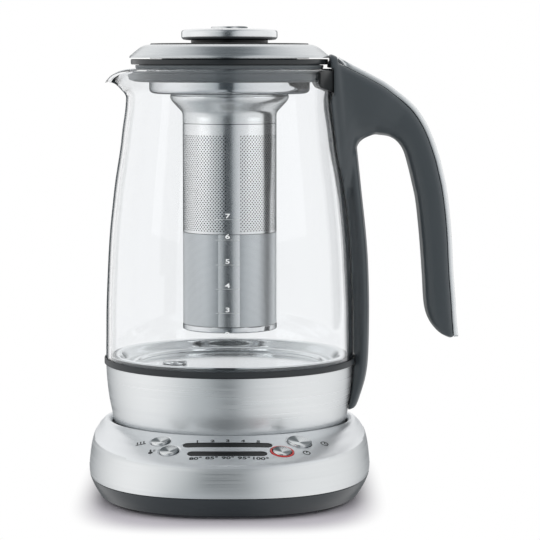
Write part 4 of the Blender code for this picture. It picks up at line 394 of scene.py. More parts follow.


# Drawn steel, brushed round the form: a broad satin sheen, with a painted shade where the wall turns away,
# from its darker edge tint.
base_steel = brushed_stainless("brushed_steel_drawn", (9.0, 9.0, 1300.0), roughness=0.34, edge="#8f9396")
cover = lofted("base_shell", cover_rings())
modify(cover, "SOLIDIFY", thickness=STEEL_SHEET, offset=-1.0)


MERGE_DISTANCE = 0.000002


def cut(piece, tool, operation="DIFFERENCE"):
    """Cut one solid out of another, or join it on, and put the tool away."""
    modify(piece, "BOOLEAN", object=tool, operation=operation, solver="EXACT")
    bpy.data.objects.remove(tool)


def face_outwards():
    """Turn all faces of the picked piece outwards, and leave edit mode."""
    bpy.ops.object.mode_set(mode="EDIT")
    bpy.ops.mesh.select_all(action="SELECT")
    bpy.ops.mesh.normals_make_consistent(inside=False)
    bpy.ops.object.mode_set(mode="OBJECT")


def turned(name, profile, steps=96, closed=True):
    """Spin a profile of (radius, height) points round Z, as on a lathe. A closed one is a ring's section."""
    bpy.ops.object.select_all(action="DESELECT")
    bpy.ops.mesh.primitive_plane_add(size=0.001)
    piece = bpy.context.object
    piece.name = name
    bpy.ops.object.mode_set(mode="EDIT")
    bpy.ops.mesh.merge(type="CENTER")
    points = list(profile) + ([profile[0]] if closed else [])
    bpy.ops.transform.translate(value=(points[0][0], 0.0, points[0][1]))
    for (radius, height), (next_radius, next_height) in zip(points, points[1:]):
        bpy.ops.mesh.extrude_region_move(TRANSFORM_OT_translate={
            "value": (next_radius - radius, 0.0, next_height - height)})
    bpy.ops.mesh.select_all(action="SELECT")
    bpy.ops.mesh.remove_doubles(threshold=MERGE_DISTANCE)
    bpy.ops.mesh.spin(steps=steps, angle=math.tau, center=(0.0, 0.0, 0.0), axis=(0.0, 0.0, 1.0))
    bpy.ops.mesh.select_all(action="SELECT")
    bpy.ops.mesh.remove_doubles(threshold=MERGE_DISTANCE)
    face_outwards()
    return piece


def placed(piece, matrix):
    """Move a piece's mesh to its place and leave its object at the origin."""
    piece.data.transform(matrix)
    return piece


def capped(piece):
    """Close both open ends of a lofted piece."""
    pick(piece)
    bpy.ops.object.mode_set(mode="EDIT")
    bpy.ops.mesh.select_all(action="DESELECT")
    bpy.ops.mesh.select_non_manifold()
    bpy.ops.mesh.edge_face_add()
    face_outwards()
    return piece


def panel_strip(name, y, half_length, width, high, low):
    """A bar with round ends that follows the panel between two depths."""
    radius = width / 2
    ends = [(math.cos(math.pi * step / 16), math.sin(math.pi * step / 16)) for step in range(17)]
    stations = [(half_length - radius + radius * c, radius * max(s, END_SLIVER)) for c, s in ends[:9]]
    stations += [((half_length - radius) * (1 - step / 12), radius) for step in range(1, 24)]
    stations += [(radius - half_length + radius * c, radius * max(s, END_SLIVER)) for c, s in ends[8:]]
    normal = panel_frame(0.0, y).to_3x3().col[2]
    rings = []
    for x, half in stations:
        bow = SLOT_BOW * (1 - (x / half_length) ** 2)
        rings.append([panel_point(x, y - bow + side * half) - normal * depth
                      for side, depth in ((-1, high), (1, high), (1, low), (-1, low))])
    return capped(lofted(name, rings))


RUNNING_GAP = 0.0003
END_SLIVER = 0.04           # keeps a strip's ends from closing to nothing
BUTTON_HOLES = (("keep_warm", (-0.0368, -0.0708), 0.0053, 0.0011),
                ("temperature", (-0.0316, -0.0837), 0.0053, 0.0011),
                ("timer", (0.0393, -0.0707), 0.0068, 0.0011), ("start", (0.0297, -0.0849), 0.0065, 0.0))
SLOTS = (("time", -0.0787, 0.0242), ("temperature", -0.0889, 0.0214))
SLOT_WIDTH = 0.0049
SLOT_BOW = 0.0012           # how far a slot's middle comes forward of its ends
PANEL_CUT = (-0.003, 0.006)     # from above the steel to below it

for label, spot, radius, dish in BUTTON_HOLES:
    bore = radius + RUNNING_GAP
    section = [(0.0, 0.0030), (bore + dish, 0.0030), (bore + dish, 0.0), (bore + dish * 0.25, -0.0005),
               (bore, -0.0005), (bore, -0.0060), (0.0, -0.0060)]
    cut(cover, placed(turned(label + "_hole", section, 64, closed=False), panel_frame(*spot)))
for label, y, half_length in SLOTS:
    cut(cover, panel_strip(label + "_slot", y, half_length + RUNNING_GAP, SLOT_WIDTH + 2 * RUNNING_GAP,
                           *PANEL_CUT))
finish_piece(cover, base_steel, "base", ["base_cover"], 28)
# The same steel on the panel's upward faces, which face the lamps above, made paler and more matt:
# a painted light, a lit copy of the base's steel.
top_steel = brushed_stainless("brushed_steel_panel", (9.0, 9.0, 1300.0), "#f6f8fa", 0.40, 0.04)
second_finish(cover, top_steel, lambda face: face.normal.z > 0
              and face.center.to_2d().length < crease_radius(azimuth_of(face.center)))


# Housing: the dark moulded tub under the steel, with a lip inside the seam and a skirt that draws
# in towards the table. Its bottom plate, two screws and four rubber pads close it below.

SKIRT_TAPER = 0.0052


def object_noise(tree, scale, detail):
    """Soft blotches fixed to the piece, so many to the metre."""
    return add_node(tree, "TexNoise", {
        "Vector": add_node(tree, "TexCoord").outputs["Object"], "Scale": scale, "Detail": detail})


def uneven_gloss(shader, low, high, scale, detail=2.0):
    """Let a surface's roughness drift between two values, as use and wiping leave it."""
    patches = object_noise(shader.id_data, scale, detail)
    feed(shader, {"Roughness": add_node(shader.id_data, "MapRange", {
        "Value": patches, "To Min": low, "To Max": high})})


def moulded_plastic(name, colour, roughness=0.42, pitch_mm=0.35, relief=0.06):
    """Moulded plastic with a fine spark-eroded texture: even, slightly soft highlights.

    Pitch is the texture's grain, a few times coarser than the real one, so that it shows.
    """
    material, tree, shader = new_material(name, colour, roughness)
    uneven_gloss(shader, roughness - 0.05, roughness + 0.05, 38.0, 3.0)
    skin = add_node(tree, "Bump", {
        "Height": object_noise(tree, 1000 / pitch_mm, 2.0), "Strength": relief, "Distance": 0.00005})
    feed(shader, {"Normal": skin})
    return material


def skirt_ring(inset, height):
    angles = [math.tau * index / AROUND for index in range(AROUND)]
    return [at_azimuth(a, seam_radius(a) - inset, height) for a in angles]


def dress(material, *nodes):
    """Give CAD nodes that stay as they are their real finish."""
    for node in nodes:
        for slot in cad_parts[node].material_slots:
            slot.material = material


# Charcoal ABS off a fine tool: half glossy, with one soft light along the skirt's curve.
charcoal_abs = moulded_plastic("abs_moulded_charcoal", "#33383c", 0.32)
seat = SEAM_HEIGHT - RUNNING_GAP
lip = STEEL_SHEET + 0.0005
skirt = [(lip, SEAM_HEIGHT + 0.0035), (lip, seat), (0.0003, seat), (0.0, seat - 0.0003), (0.0006, 0.0080),
         (0.0014, 0.0062), (0.0023, 0.0045), (0.0034, 0.0028), (0.0044, 0.0013), (0.0049, 0.0004),
         (SKIRT_TAPER, 0.0), (0.0077, 0.0), (0.0077, 0.0028), (0.0127, 0.0028), (0.0127, 0.0048),
         (0.0049, 0.0048), (0.0033, SEAM_HEIGHT), (0.0033, SEAM_HEIGHT + 0.0035)]
housing = lofted("housing_skirt", [skirt_ring(*station) for station in skirt], closed=True)
finish_piece(housing, charcoal_abs, "base", ["base_housing"])

# The same ABS with a coarser texture: dull and a little paler, as undersides are.
underside_abs = moulded_plastic("abs_moulded_underside", "#3c4246", 0.55, 0.5, 0.10)
dress(underside_abs, "base_plate")
# Synthetic rubber: nearly black, and too rough to shine.
foot_rubber = moulded_plastic("rubber_moulded_feet", "#26282a", 0.78, 0.6, 0.2)
dress(foot_rubber, "base_foot_1", "base_foot_2", "base_foot_3", "base_foot_4")


def bright_steel(name, colour="#f0f1f2", roughness=0.10, smear_mm=6.0, edge="#ffffff"):
    """Polished or bare stainless: a clear or clouded mirror, faintly uneven where the mop has run.

    Edge is a darker tint that it takes where it turns away: a painted shade, standing in for the dark
    surroundings it would mirror there.
    """
    material, _, shader = new_material(name, colour, roughness, 1.0, Specular_Tint=linear(edge))
    uneven_gloss(shader, roughness * 0.75, roughness * 1.25, 1000 / smear_mm)
    return material


# Plated steel: greyer than stainless, with blurred reflections.
screw_steel = bright_steel("steel_screws_plated", "#d2d4d4", 0.22)
dress(screw_steel, "base_screw_1", "base_screw_2")


# Cord gland: a soft rubber bush with a flange, pressed into the back of the skirt.

GLAND_HEIGHT = 0.0062
GLAND_FACE = 0.0812

# Soft rubber: matt black, with the least grey bloom.
bush_rubber = moulded_plastic("rubber_moulded_bush", "#1d1f20", 0.70, 0.5, 0.15)
gland = turned("cord_bush", [
    (0.0029, -0.0085), (0.0021, -0.0085), (0.0021, 0.0006), (0.0024, 0.0012), (0.0032, 0.0012),
    (0.0036, 0.0008), (0.0036, 0.0003), (0.0029, 0.0003)], 40)
placed(gland, Matrix.Translation((0.0, GLAND_FACE, GLAND_HEIGHT)) @ Matrix.Rotation(-math.pi / 2, 4, "X"))
finish_piece(gland, bush_rubber, "base", ["cord_gland"])


# Well: a moulded tray in the steel's rim. Its post carries two sprung brass contacts up into the
# jug's socket, so that the jug may be set down facing any way.

TRAY_TOP = 0.0348
TRAY_FLOOR = 0.0240
POST_TOP = 0.0380

# Dark grey ABS: plain and half matt, so that the well reads as shade.
tray_abs = moulded_plastic("abs_moulded_tray", "#33383b", 0.45)
tray = turned("well_tray", [
    (0.0712, TRAY_TOP), (0.0643, 0.0222), (0.0143, 0.0222), (0.0143, TRAY_FLOOR), (0.0180, TRAY_FLOOR),
    (0.0190, 0.0244), (0.0240, 0.0244), (0.0250, TRAY_FLOOR), (0.0600, TRAY_FLOOR), (0.0620, 0.0243),
    (0.0633, 0.0254), (0.0694, TRAY_TOP)], 128)
finish_piece(tray, tray_abs, "base", ["base_tray"])

# Black glass-filled nylon: close grained, with a dull sheen.
post_nylon = moulded_plastic("nylon_moulded_black", "#17191a", 0.38, 0.5)
post = turned("connector_post", [
    (0.0, 0.0290), (0.0036, 0.0290), (0.0036, 0.0376), (0.0040, POST_TOP), (0.0071, POST_TOP),
    (0.0074, 0.0377), (0.0074, 0.0320), (0.0096, 0.0320), (0.0096, 0.0377), (0.0099, POST_TOP),
    (0.0134, POST_TOP), (0.0140, 0.0374), (0.0140, 0.0219), (0.0240, 0.0219), (0.0240, 0.0199),
    (0.0, 0.0199)], 72, closed=False)
finish_piece(post, post_nylon, "base", ["power_connector_post"])

# Stamped brass: yellow metal, dulled in small patches by tarnish.
contact_brass, tree, shader = new_material("brass_stamped_contacts", "#d9b36a", 0.24, 1.0)
uneven_gloss(shader, 0.18, 0.36, 420.0, 3.0)
dress(contact_brass, "power_contact_sleeve", "power_contact_ring")


# Works under the panel: a green circuit board on moulded posts, with four switches under the
# buttons, two rows of lamps, and a clear bar that carries their light up to the windows.

TRACK_PITCH_MM = 1.2

# Glass laminate under green solder mask: satin, with paler tracks showing through.
board_laminate, tree, shader = new_material("laminate_solder_masked", "#175a33", 0.35)
tracks = add_node(tree, "TexBrick", {
    "Vector": add_node(tree, "TexCoord").outputs["Object"], "Color1": linear("#1c6b3c"),
    "Color2": linear("#155230"), "Mortar": linear("#0f4427"), "Scale": 1000 / TRACK_PITCH_MM / 2,
    "Mortar Size": 0.04})
feed(shader, {"Base Color": tracks})
dress(board_laminate, "control_board")
dress(post_nylon, "tact_switch_1", "tact_switch_2", "tact_switch_3", "tact_switch_4")

# Frosted acrylic: milky, so that a lamp spreads in it.
guide_acrylic = moulded_plastic("acrylic_moulded_frosted", "#e8eae6", 0.30, 0.8, 0.05)
dress(guide_acrylic, "light_guide", "indicator_lights")


# Push buttons: pressed stainless caps with a dished cone in the top, held by a flange under the
# steel. Each stem stands over its own switch.

CAP_PROUD = 0.0008
CAP_DISH = 0.0011
WEDGE_DEGREES = 155         # where a cap's darker painted wedges point, seen from above
CAP_SIZES = (("keep_warm", 0.0053, 0.0018), ("temperature", 0.0053, 0.0018),
             ("timer", 0.0068, 0.0018), ("start", 0.0053, 0.0031))
SPOTS = {label: spot for label, spot, _, _ in BUTTON_HOLES}


def face_on(piece):
    """Lay a round piece's UV flat, in metres from its axis."""
    layers = piece.data.uv_layers
    flat = (layers.active or layers.new(name="face_on")).data
    for loop in piece.data.loops:
        flat[loop.index].uv = piece.data.vertices[loop.vertex_index].co.xy


# Stainless faced on a lathe, with a painted highlight and painted shade in its colour: bright and dark
# wedges round the middle of each cap, two of each, for what a turned face would mirror.
cap_steel, tree, shader = new_material("stainless_spun_caps", "#e8eaeb", 0.20, 1.0)
face = add_node(tree, "SeparateXYZ", {"Vector": add_node(tree, "TexCoord").outputs["UV"]})
turn = add_node(tree, "Math", {0: face.outputs["Y"], 1: face.outputs["X"]}, operation="ARCTAN2")
twice = add_node(tree, "Math", {0: turn, 1: 2.0, 2: -2 * math.radians(WEDGE_DEGREES)},
                 operation="MULTIPLY_ADD")
bow = add_node(tree, "Math", {0: twice}, operation="COSINE")
wedges = add_node(tree, "MapRange", {"Value": bow, "From Min": -1.0})
shine = add_node(tree, "ValToRGB", {"Fac": wedges})
fill_ramp(shine, ((0.0, "#f4f5f5"), (0.50, "#dfe1e2"), (0.72, "#8b9093"), (1.0, "#6b7174")))
feed(shader, {"Base Color": shine})
for label, radius, flange in CAP_SIZES:
    spot_frame = panel_frame(*SPOTS[label])
    cad_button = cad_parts["button_" + label].data.vertices
    stem_end = min((spot_frame.inverted() @ vert.co).z for vert in cad_button)
    cap = turned(label + "_cap", [
        (0.0, CAP_PROUD - CAP_DISH), (radius - 0.0007, CAP_PROUD - 0.00005), (radius - 0.0004, CAP_PROUD),
        (radius - 0.0001, CAP_PROUD - 0.0002), (radius, CAP_PROUD - 0.0005), (radius, -flange),
        (radius + 0.0012, -flange), (radius + 0.0012, -flange - 0.0010), (0.0015, -flange - 0.0010),
        (0.0015, stem_end), (0.0, stem_end)], 64, closed=False)
    face_on(cap)
    finish_piece(placed(cap, spot_frame), cap_steel, label + "_button", ["button_" + label], 20)


# Start light: a red translucent ring round the start button, lit from under the panel.

# Red acrylic: glossy and deep, a shade uneven where it flowed into the mould.
ring_acrylic, tree, shader = new_material("acrylic_moulded_red", "#c8201e", 0.22, IOR=1.49, Coat_Weight=0.3)
tint = add_node(tree, "ValToRGB", {"Fac": object_noise(tree, 300.0, 2.0)})
fill_ramp(tint, ((0.3, "#b81a19"), (0.7, "#d42a26")))
feed(shader, {"Base Color": tint})
light_ring = turned("start_ring", [
    (0.0064, 0.0002), (0.0065, 0.0001), (0.0065, -0.0018), (0.0074, -0.0018), (0.0074, -0.0028),
    (0.0056, -0.0028), (0.0056, 0.0001), (0.0057, 0.0002)], 64)
finish_piece(placed(light_ring, panel_frame(*SPOTS["start"])), ring_acrylic, "base", ["start_light_ring"])


# Windows: two black acrylic lenses a hair below the steel, over the time and temperature lamps.

# Smoked acrylic: black and glossy, with a weak reflection that fingermarks break up.
lens_acrylic, tree, shader = new_material("acrylic_moulded_smoked", "#08090a", 0.10, IOR=1.49,
                                          Specular_IOR_Level=0.25)
uneven_gloss(shader, 0.06, 0.16, 160.0)
for label, y, half_length in SLOTS:
    lens = panel_strip(label + "_lens", y, half_length, SLOT_WIDTH, 0.0003, 0.0018)
    finish_piece(lens, lens_acrylic, "base", [label + "_window"])


# Printing on the steel: the minutes and the degrees as plain numbers, and a small sign beside each
# button. Pad printed in dark grey ink, too thin to feel.

INK_LIFT = 0.00004
TYPE_SIZE = 1.42            # the type's size for figures one high
TYPE_WEIGHT = 0.00012       # how far the ink spreads past the plain type's outline
PRINTED_ROWS = (            # figures, spacing, shift to the right, place up the panel, height, widening
    ("minute", ("1", "2", "3", "4", "5"), 0.0083, 0.0001, -0.0753, 0.0026, 1.25),
    ("degree", ("80°", "85°", "90°", "95°", "100°"), 0.0087, 0.0005, -0.0949, 0.0029, 1.22))

# Pad printing ink: an even dark grey film, flatter than the steel round it.
pad_ink = moulded_plastic("ink_pad_printed", "#24282a", 0.50, 0.2, 0.04)


def number_mesh(name, text, height, weight, thickness, align_y="CENTER"):
    """A number in the plain built-in type, as a thin solid in the XY plane."""
    bpy.ops.object.select_all(action="DESELECT")
    bpy.ops.object.text_add()
    words = bpy.context.object
    words.name = name
    for key, value in (("body", text), ("align_x", "CENTER"), ("align_y", align_y),
                       ("size", height * TYPE_SIZE), ("offset", weight), ("extrude", thickness / 2),
                       ("resolution_u", 6)):
        setattr(words.data, key, value)
    pick(words)
    bpy.ops.object.convert(target="MESH")
    return words


def printed(name, text, x, y, height, widen):
    """A number printed flat on the panel, centred on its place."""
    words = number_mesh(name, text, height, TYPE_WEIGHT, INK_LIFT)
    placed(words, panel_frame(x, y, -INK_LIFT) @ Matrix.Diagonal((widen, 1.0, 1.0, 1.0)))
    finish_piece(words, pad_ink, "base", [])


for kind, figures, spacing, shift, y, height, widen in PRINTED_ROWS:
    for index, figure in enumerate(figures):
        printed(f"{kind}_mark_{figure.strip('°')}", figure, spacing * (index - 2) + shift, y, height, widen)


def joined(pieces):
    """Join pieces into the first of them."""
    pick(pieces[0])
    for piece in pieces[1:]:
        piece.select_set(True)
    bpy.ops.object.join()
    return pieces[0]


def sign(name, x, y, rings=(), bars=()):
    """A small sign of rings (across, up, radius, width) and bars (across, up, length, width, turn)."""
    shapes = []
    for across, up, radius, width in rings:
        inside = radius - width
        shape = turned(name + "_ring", [(radius, 0.0), (radius, INK_LIFT), (inside, INK_LIFT),
                                        (inside, 0.0)], 32)
        shapes.append(placed(shape, Matrix.Translation((across, up, 0.0))))
    for across, up, length, width, degrees in bars:
        bpy.ops.object.select_all(action="DESELECT")
        bpy.ops.mesh.primitive_cube_add(size=1.0)
        turn = Matrix.Rotation(math.radians(degrees), 4, "Z")
        bar = placed(bpy.context.object, turn @ Matrix.Diagonal((length, width, INK_LIFT, 1.0)))
        shapes.append(placed(bar, Matrix.Translation((across, up, INK_LIFT / 2))))
    mark = joined(shapes)
    mark.name = name
    finish_piece(placed(mark, panel_frame(x, y, -INK_LIFT / 2)), pad_ink, "base", [])


sign("warm_sign", -0.0478, -0.0692, bars=(
    (0.0, -0.0015, 0.0056, 0.0007, 0), (-0.0018, 0.0006, 0.0026, 0.0007, 90),
    (0.0, 0.0006, 0.0026, 0.0007, 90), (0.0018, 0.0006, 0.0026, 0.0007, 90)))
sign("heat_sign", -0.0418, -0.0818, rings=((0.0, -0.0013, 0.0013, 0.0012),),
     bars=((0.0, 0.0008, 0.0034, 0.0010, 90), (0.0020, 0.0013, 0.0014, 0.0005, 0),
           (0.0020, 0.0, 0.0014, 0.0005, 0)))
sign("clock_sign", 0.0530, -0.0668, rings=((0.0, 0.0, 0.0023, 0.0006),),
     bars=((0.0, 0.0007, 0.0016, 0.0005, 90), (0.0006, 0.0, 0.0014, 0.0005, 0)))
sign("power_sign", 0.0430, -0.0826, rings=((0.0, 0.0, 0.0022, 0.0006),),
     bars=((0.0, 0.0012, 0.0022, 0.0007, 90),))


# Heater shell: deep-drawn stainless under the glass, linished round and round, its foot turned in
# to carry the bottom cover. It stands loose in the base's well.

SHELL_SHEET = 0.0012
FOOT_RADIUS = 0.0585
FOOT_HEIGHT = 0.0266
FOOT_INSIDE = 0.0540


def eased(points, steps=6):
    """A smooth run of points through the given ones."""
    points = [Vector(point) for point in points]
    ends = [points[0] * 2 - points[1]] + points + [points[-1] * 2 - points[-2]]
    run = []
    for before, start, end, after in zip(ends, ends[1:], ends[2:], ends[3:]):
        for step in range(steps):
            t = step / steps
            run.append(0.5 * (2 * start + (end - before) * t
                              + (2 * before - 5 * start + 4 * end - after) * t * t
                              + (3 * start - before - 3 * end + after) * t ** 3))
    return [tuple(point) for point in run + [points[-1]]]


def inner_side(path, wall):
    """The path of a sheet's inner face, to the left of a downward run."""
    inside = []
    for index, (radius, height) in enumerate(path):
        (r0, z0), (r1, z1) = path[max(index - 1, 0)], path[min(index + 1, len(path) - 1)]
        length = math.hypot(r1 - r0, z1 - z0)
        inside.append((radius + wall * (z1 - z0) / length, height - wall * (r1 - r0) / length))
    return inside


# Steel linished round and round: level strokes, and a sheen that darkens towards both sides, a painted shade
# from its darker edge tint.
shell_steel = brushed_stainless("brushed_steel_linished", (9.0, 9.0, 1500.0), roughness=0.32, grain=0.05,
                                edge="#8f9396")
outside = eased([
    (0.0712, 0.0698), (0.0710, 0.0650), (0.0706, 0.0596), (0.0696, 0.0511), (0.0683, 0.0444),
    (0.0676, 0.0407), (0.0669, 0.0376), (0.0652, 0.0330), (0.0623, 0.0290), (0.0601, 0.0273),
    (FOOT_RADIUS, FOOT_HEIGHT)], 4)
outside.append((FOOT_INSIDE, FOOT_HEIGHT))
shell = turned("heater_skin", outside + inner_side(outside, SHELL_SHEET)[::-1], 144)
finish_piece(shell, shell_steel, "jug", ["heater_shell"])


# Dark ring between steel and glass: moulded silicone rubber that seals the glass's foot, with a
# softer grey gasket inside it, under the plate's flange.

SEAL_TOP = 0.0736

# Silicone rubber: soft black, with a dry, broad highlight.
seal_rubber = moulded_plastic("silicone_moulded_black", "#24282b", 0.50, 0.6, 0.08)
seal = turned("seal_band", [
    (0.0720, SEAL_TOP), (0.0722, SEAL_TOP - 0.0003), (0.0722, 0.0705), (0.0718, 0.0701), (0.0640, 0.0701),
    (0.0640, 0.0726), (0.0716, 0.0726), (0.0716, SEAL_TOP)], 128)
finish_piece(seal, seal_rubber, "jug", ["seal_ring"])
# Undyed grey silicone: a touch glossier, cloudy rather than clear.
grey_silicone = moulded_plastic("silicone_moulded_grey", "#7b8185", 0.46, 0.6, 0.06)
dress(grey_silicone, "plate_gasket")


# Heating plate: a pressed stainless pan with two ridges that stiffen it, polished by scrubbing.
# The probe of the temperature sensor stands up through it, off centre.

PLATE_FLOOR = 0.0698
PLATE_SHEET = 0.0008
SENSOR_PLACE = (-0.0315, -0.0062, 0.0)

# Pressed and scoured stainless: a clouded mirror of the glass and the room above it.
pan_steel = bright_steel("stainless_pressed_pan", "#dcdfe0", 0.10, 9.0)
ridges = eased([
    (0.0, PLATE_FLOOR), (0.030, PLATE_FLOOR), (0.0505, PLATE_FLOOR), (0.0522, 0.0700), (0.0536, 0.0712),
    (0.0550, 0.0716), (0.0570, 0.0713), (0.0582, 0.0708), (0.0600, 0.0709), (0.0612, 0.0720),
    (0.0626, 0.0738), (0.0638, 0.0751), (0.0652, 0.0756), (0.0680, 0.0757)], 4)
under = [(radius, height - PLATE_SHEET) for radius, height in ridges[::-1]]
plate = turned("heating_pan", ridges + under, 128, closed=False)
bore = turned("sensor_bore", [
    (0.0, 0.060), (0.0048, 0.060), (0.0048, 0.080), (0.0, 0.080)], 32, closed=False)
cut(plate, placed(bore, Matrix.Translation(SENSOR_PLACE)))
finish_piece(plate, pan_steel, "jug", ["heating_plate"])

# Turned stainless: bright, but a tone greyer than the pan it stands in.
probe_steel = bright_steel("stainless_turned_probe", "#cfd1d2", 0.16, 3.0)
probe = turned("sensor_probe", [
    (0.0, 0.0721), (0.0050, 0.07205), (0.0062, 0.0717), (0.0069, 0.0710), (0.0070, 0.0703), (0.0070, 0.0701),
    (0.0045, 0.0701), (0.0045, 0.0601), (0.0, 0.0601)], 48, closed=False)
finish_piece(placed(probe, Matrix.Translation(SENSOR_PLACE)), probe_steel, "jug", ["temperature_sensor"], 50)

# Cast aluminium as it left the mould: pale grey and sandy, with no clear reflection.
cast_aluminium, tree, shader = new_material("aluminium_cast_matt", "#b9bbbc", 0.42, 1.0)
pits = add_node(tree, "Bump", {
    "Height": object_noise(tree, 900.0, 3.0), "Strength": 0.25, "Distance": 0.0001})
feed(shader, {"Normal": pits})
dress(cast_aluminium, "heat_spreader", "heating_element")


# Underside of the jug: the round socket for the post, the thermostat above it, a moulded bottom
# cover, and a steel bracket ring that two screws draw up against it.

dress(post_nylon, "thermostat")
dress(underside_abs, "jug_bottom_cover")
dress(screw_steel, "bracket_ring", "jug_screw_1", "jug_screw_2")
socket = turned("socket_shell", [
    (0.0, 0.0403), (0.0185, 0.0403), (0.0190, 0.0398), (0.0190, 0.0246), (0.0153, 0.0246), (0.0148, 0.0251),
    (0.0148, 0.0383), (0.0012, 0.0383), (0.0012, 0.0335), (0.0008, 0.0333), (0.0, 0.0333)], 72, closed=False)
finish_piece(socket, post_nylon, "jug", ["connector_socket"])


# Glass jug: borosilicate, blown in a mould, with a fire-polished rim and the lip drawn out by hand
# into a spout on the left. The wall is even, about two and a half millimetres.

GLASS_WALL = 0.0026
GLASS_FOOT = 0.0729
NECK_RADIUS = 0.0590
NECK_HEIGHT = 0.2225
RIM_TOP = 0.2385
SPOUT_REACH = 0.0118
SPOUT_DROP = 0.0070
SPOUT_HALF_DEGREES = 38
GLASS_AROUND = 144


def spout_weight(azimuth):
    """1 at the spout, on the left, falling smoothly to 0 at its sides."""
    away = abs(math.remainder(azimuth + math.pi / 2, math.tau))
    limit = math.radians(SPOUT_HALF_DEGREES)
    return math.cos(away / limit * math.pi / 2) ** 2 if away < limit else 0.0


def glass_ring(radius, height, flare=0.0, rise=0.0, inset=0.0, sink=0.0):
    """One ring of the jug. Flare draws it out at the spout, and rise lifts it from neck to rim."""
    ring = []
    for index in range(GLASS_AROUND):
        azimuth = math.tau * index / GLASS_AROUND
        weight = spout_weight(azimuth)
        level = between(NECK_HEIGHT, RIM_TOP - SPOUT_DROP * weight ** 3, rise) if rise else height
        ring.append(at_azimuth(azimuth, radius + SPOUT_REACH * flare * weight - inset, level - sink))
    return ring


lip_flares = eased([(0.0, 0.0), (0.20, 0.08), (0.40, 0.22), (0.60, 0.36), (0.80, 0.54), (0.95, 0.86)], 3)
side = eased([
    (0.0713, GLASS_FOOT), (0.0712, 0.0820), (0.0711, 0.0889), (0.0709, 0.1032), (0.0703, 0.1177),
    (0.0696, 0.1320), (0.0686, 0.1464), (0.0671, 0.1606), (0.0654, 0.1749), (0.0626, 0.1924),
    (0.0612, 0.2040), (0.0596, 0.2148), (NECK_RADIUS, NECK_HEIGHT)], 3)
glass_rings = [glass_ring(radius, height) for radius, height in side]
glass_rings += [glass_ring(NECK_RADIUS, 0.0, flare, rise) for rise, flare in lip_flares[1:]]
for step in range(9):
    turn = math.pi * step / 8
    inset, sink = GLASS_WALL / 2 * (1 - math.cos(turn)), GLASS_WALL / 2 * (1 - math.sin(turn))
    glass_rings.append(glass_ring(NECK_RADIUS, 0.0, 1.0, 1.0, inset, sink))
glass_rings += [glass_ring(NECK_RADIUS, 0.0, flare, rise, GLASS_WALL) for rise, flare in lip_flares[:0:-1]]
glass_rings += [glass_ring(radius, height, 0.0, 0.0, GLASS_WALL) for radius, height in side[::-1]]

# Borosilicate glass: clear and all but colourless, dark only where it is seen edge on. Blowing
# leaves it very slightly wavy, which bends what is behind it.
clear_glass, tree, shader = new_material("glass_borosilicate_blown", "#f9fafb", 0.0, IOR=1.47,
                                         Transmission_Weight=1.0)
draw = add_node(tree, "TexNoise", {
    "Vector": add_node(tree, "Mapping", {
        "Vector": add_node(tree, "TexCoord").outputs["Object"], "Scale": (1.0, 1.0, 0.35)}),
    "Scale": 22.0, "Detail": 1.0})
wave = add_node(tree, "Bump", {"Height": draw, "Strength": 0.05, "Distance": 0.002})
feed(shader, {"Normal": wave})
jug = lofted("glass_wall", glass_rings[::-1], closed=True)
finish_piece(jug, clear_glass, "jug", ["glass_jug"], 60)


# Cup marks: plain numbers fired on the front of the glass in white enamel, each over a thin line
# at its level.

MARK_LEVELS = ((2, 0.0925), (3, 0.1059), (4, 0.1191), (5, 0.1323), (6, 0.1458), (7, 0.1569))
MARK_HEIGHT = 0.0024
MARK_WIDEN = 1.60
MARK_GAP = 0.0008
LINE_LENGTH = 0.0131
LINE_WIDTH = 0.00028
MARK_WEIGHT = 0.00008
ENAMEL_THICKNESS = 0.00006
ENAMEL_LIFT = 0.00005       # the enamel's middle, out from the glass

# Fired enamel: opaque white with a low gloss.
white_enamel = moulded_plastic("enamel_fired_white", "#f2f4f4", 0.30, 0.2, 0.03)


def glass_radius(height):
    """The outside radius of the glass at a height, below its neck."""
    for (low_radius, low_level), (high_radius, high_level) in zip(side, side[1:]):
        if low_level <= height <= high_level:
            return between(low_radius, high_radius, (height - low_level) / (high_level - low_level))
    return NECK_RADIUS


for number, level in MARK_LEVELS:
    mark = number_mesh(f"cup_mark_{number}", str(number), MARK_HEIGHT, MARK_WEIGHT, ENAMEL_THICKNESS,
                       "TOP_BASELINE")
    placed(mark, Matrix.Translation((0.0, MARK_GAP, 0.0)) @ Matrix.Diagonal((MARK_WIDEN, 1.0, 1.0, 1.0)))
    bpy.ops.mesh.primitive_cube_add(size=1.0)
    line = placed(bpy.context.object, Matrix.Diagonal((LINE_LENGTH, LINE_WIDTH, ENAMEL_THICKNESS, 1.0)))
    upright = Matrix.Translation((0.0, 0.0, level)) @ Matrix.Rotation(math.pi / 2, 4, "X")
    placed(joined([mark, line]), upright)
    for vert in mark.data.vertices:
        radius = glass_radius(vert.co.z) + ENAMEL_LIFT - vert.co.y
        vert.co.y = -math.sqrt(radius ** 2 - vert.co.x ** 2)
    finish_piece(mark, white_enamel, "jug", [])


# Handle: one dark moulding. A spine hugs the jug's right side, and from its head an open-ended grip
# bows out and down. A screw from inside the steel shell and a collar round the neck hold it.

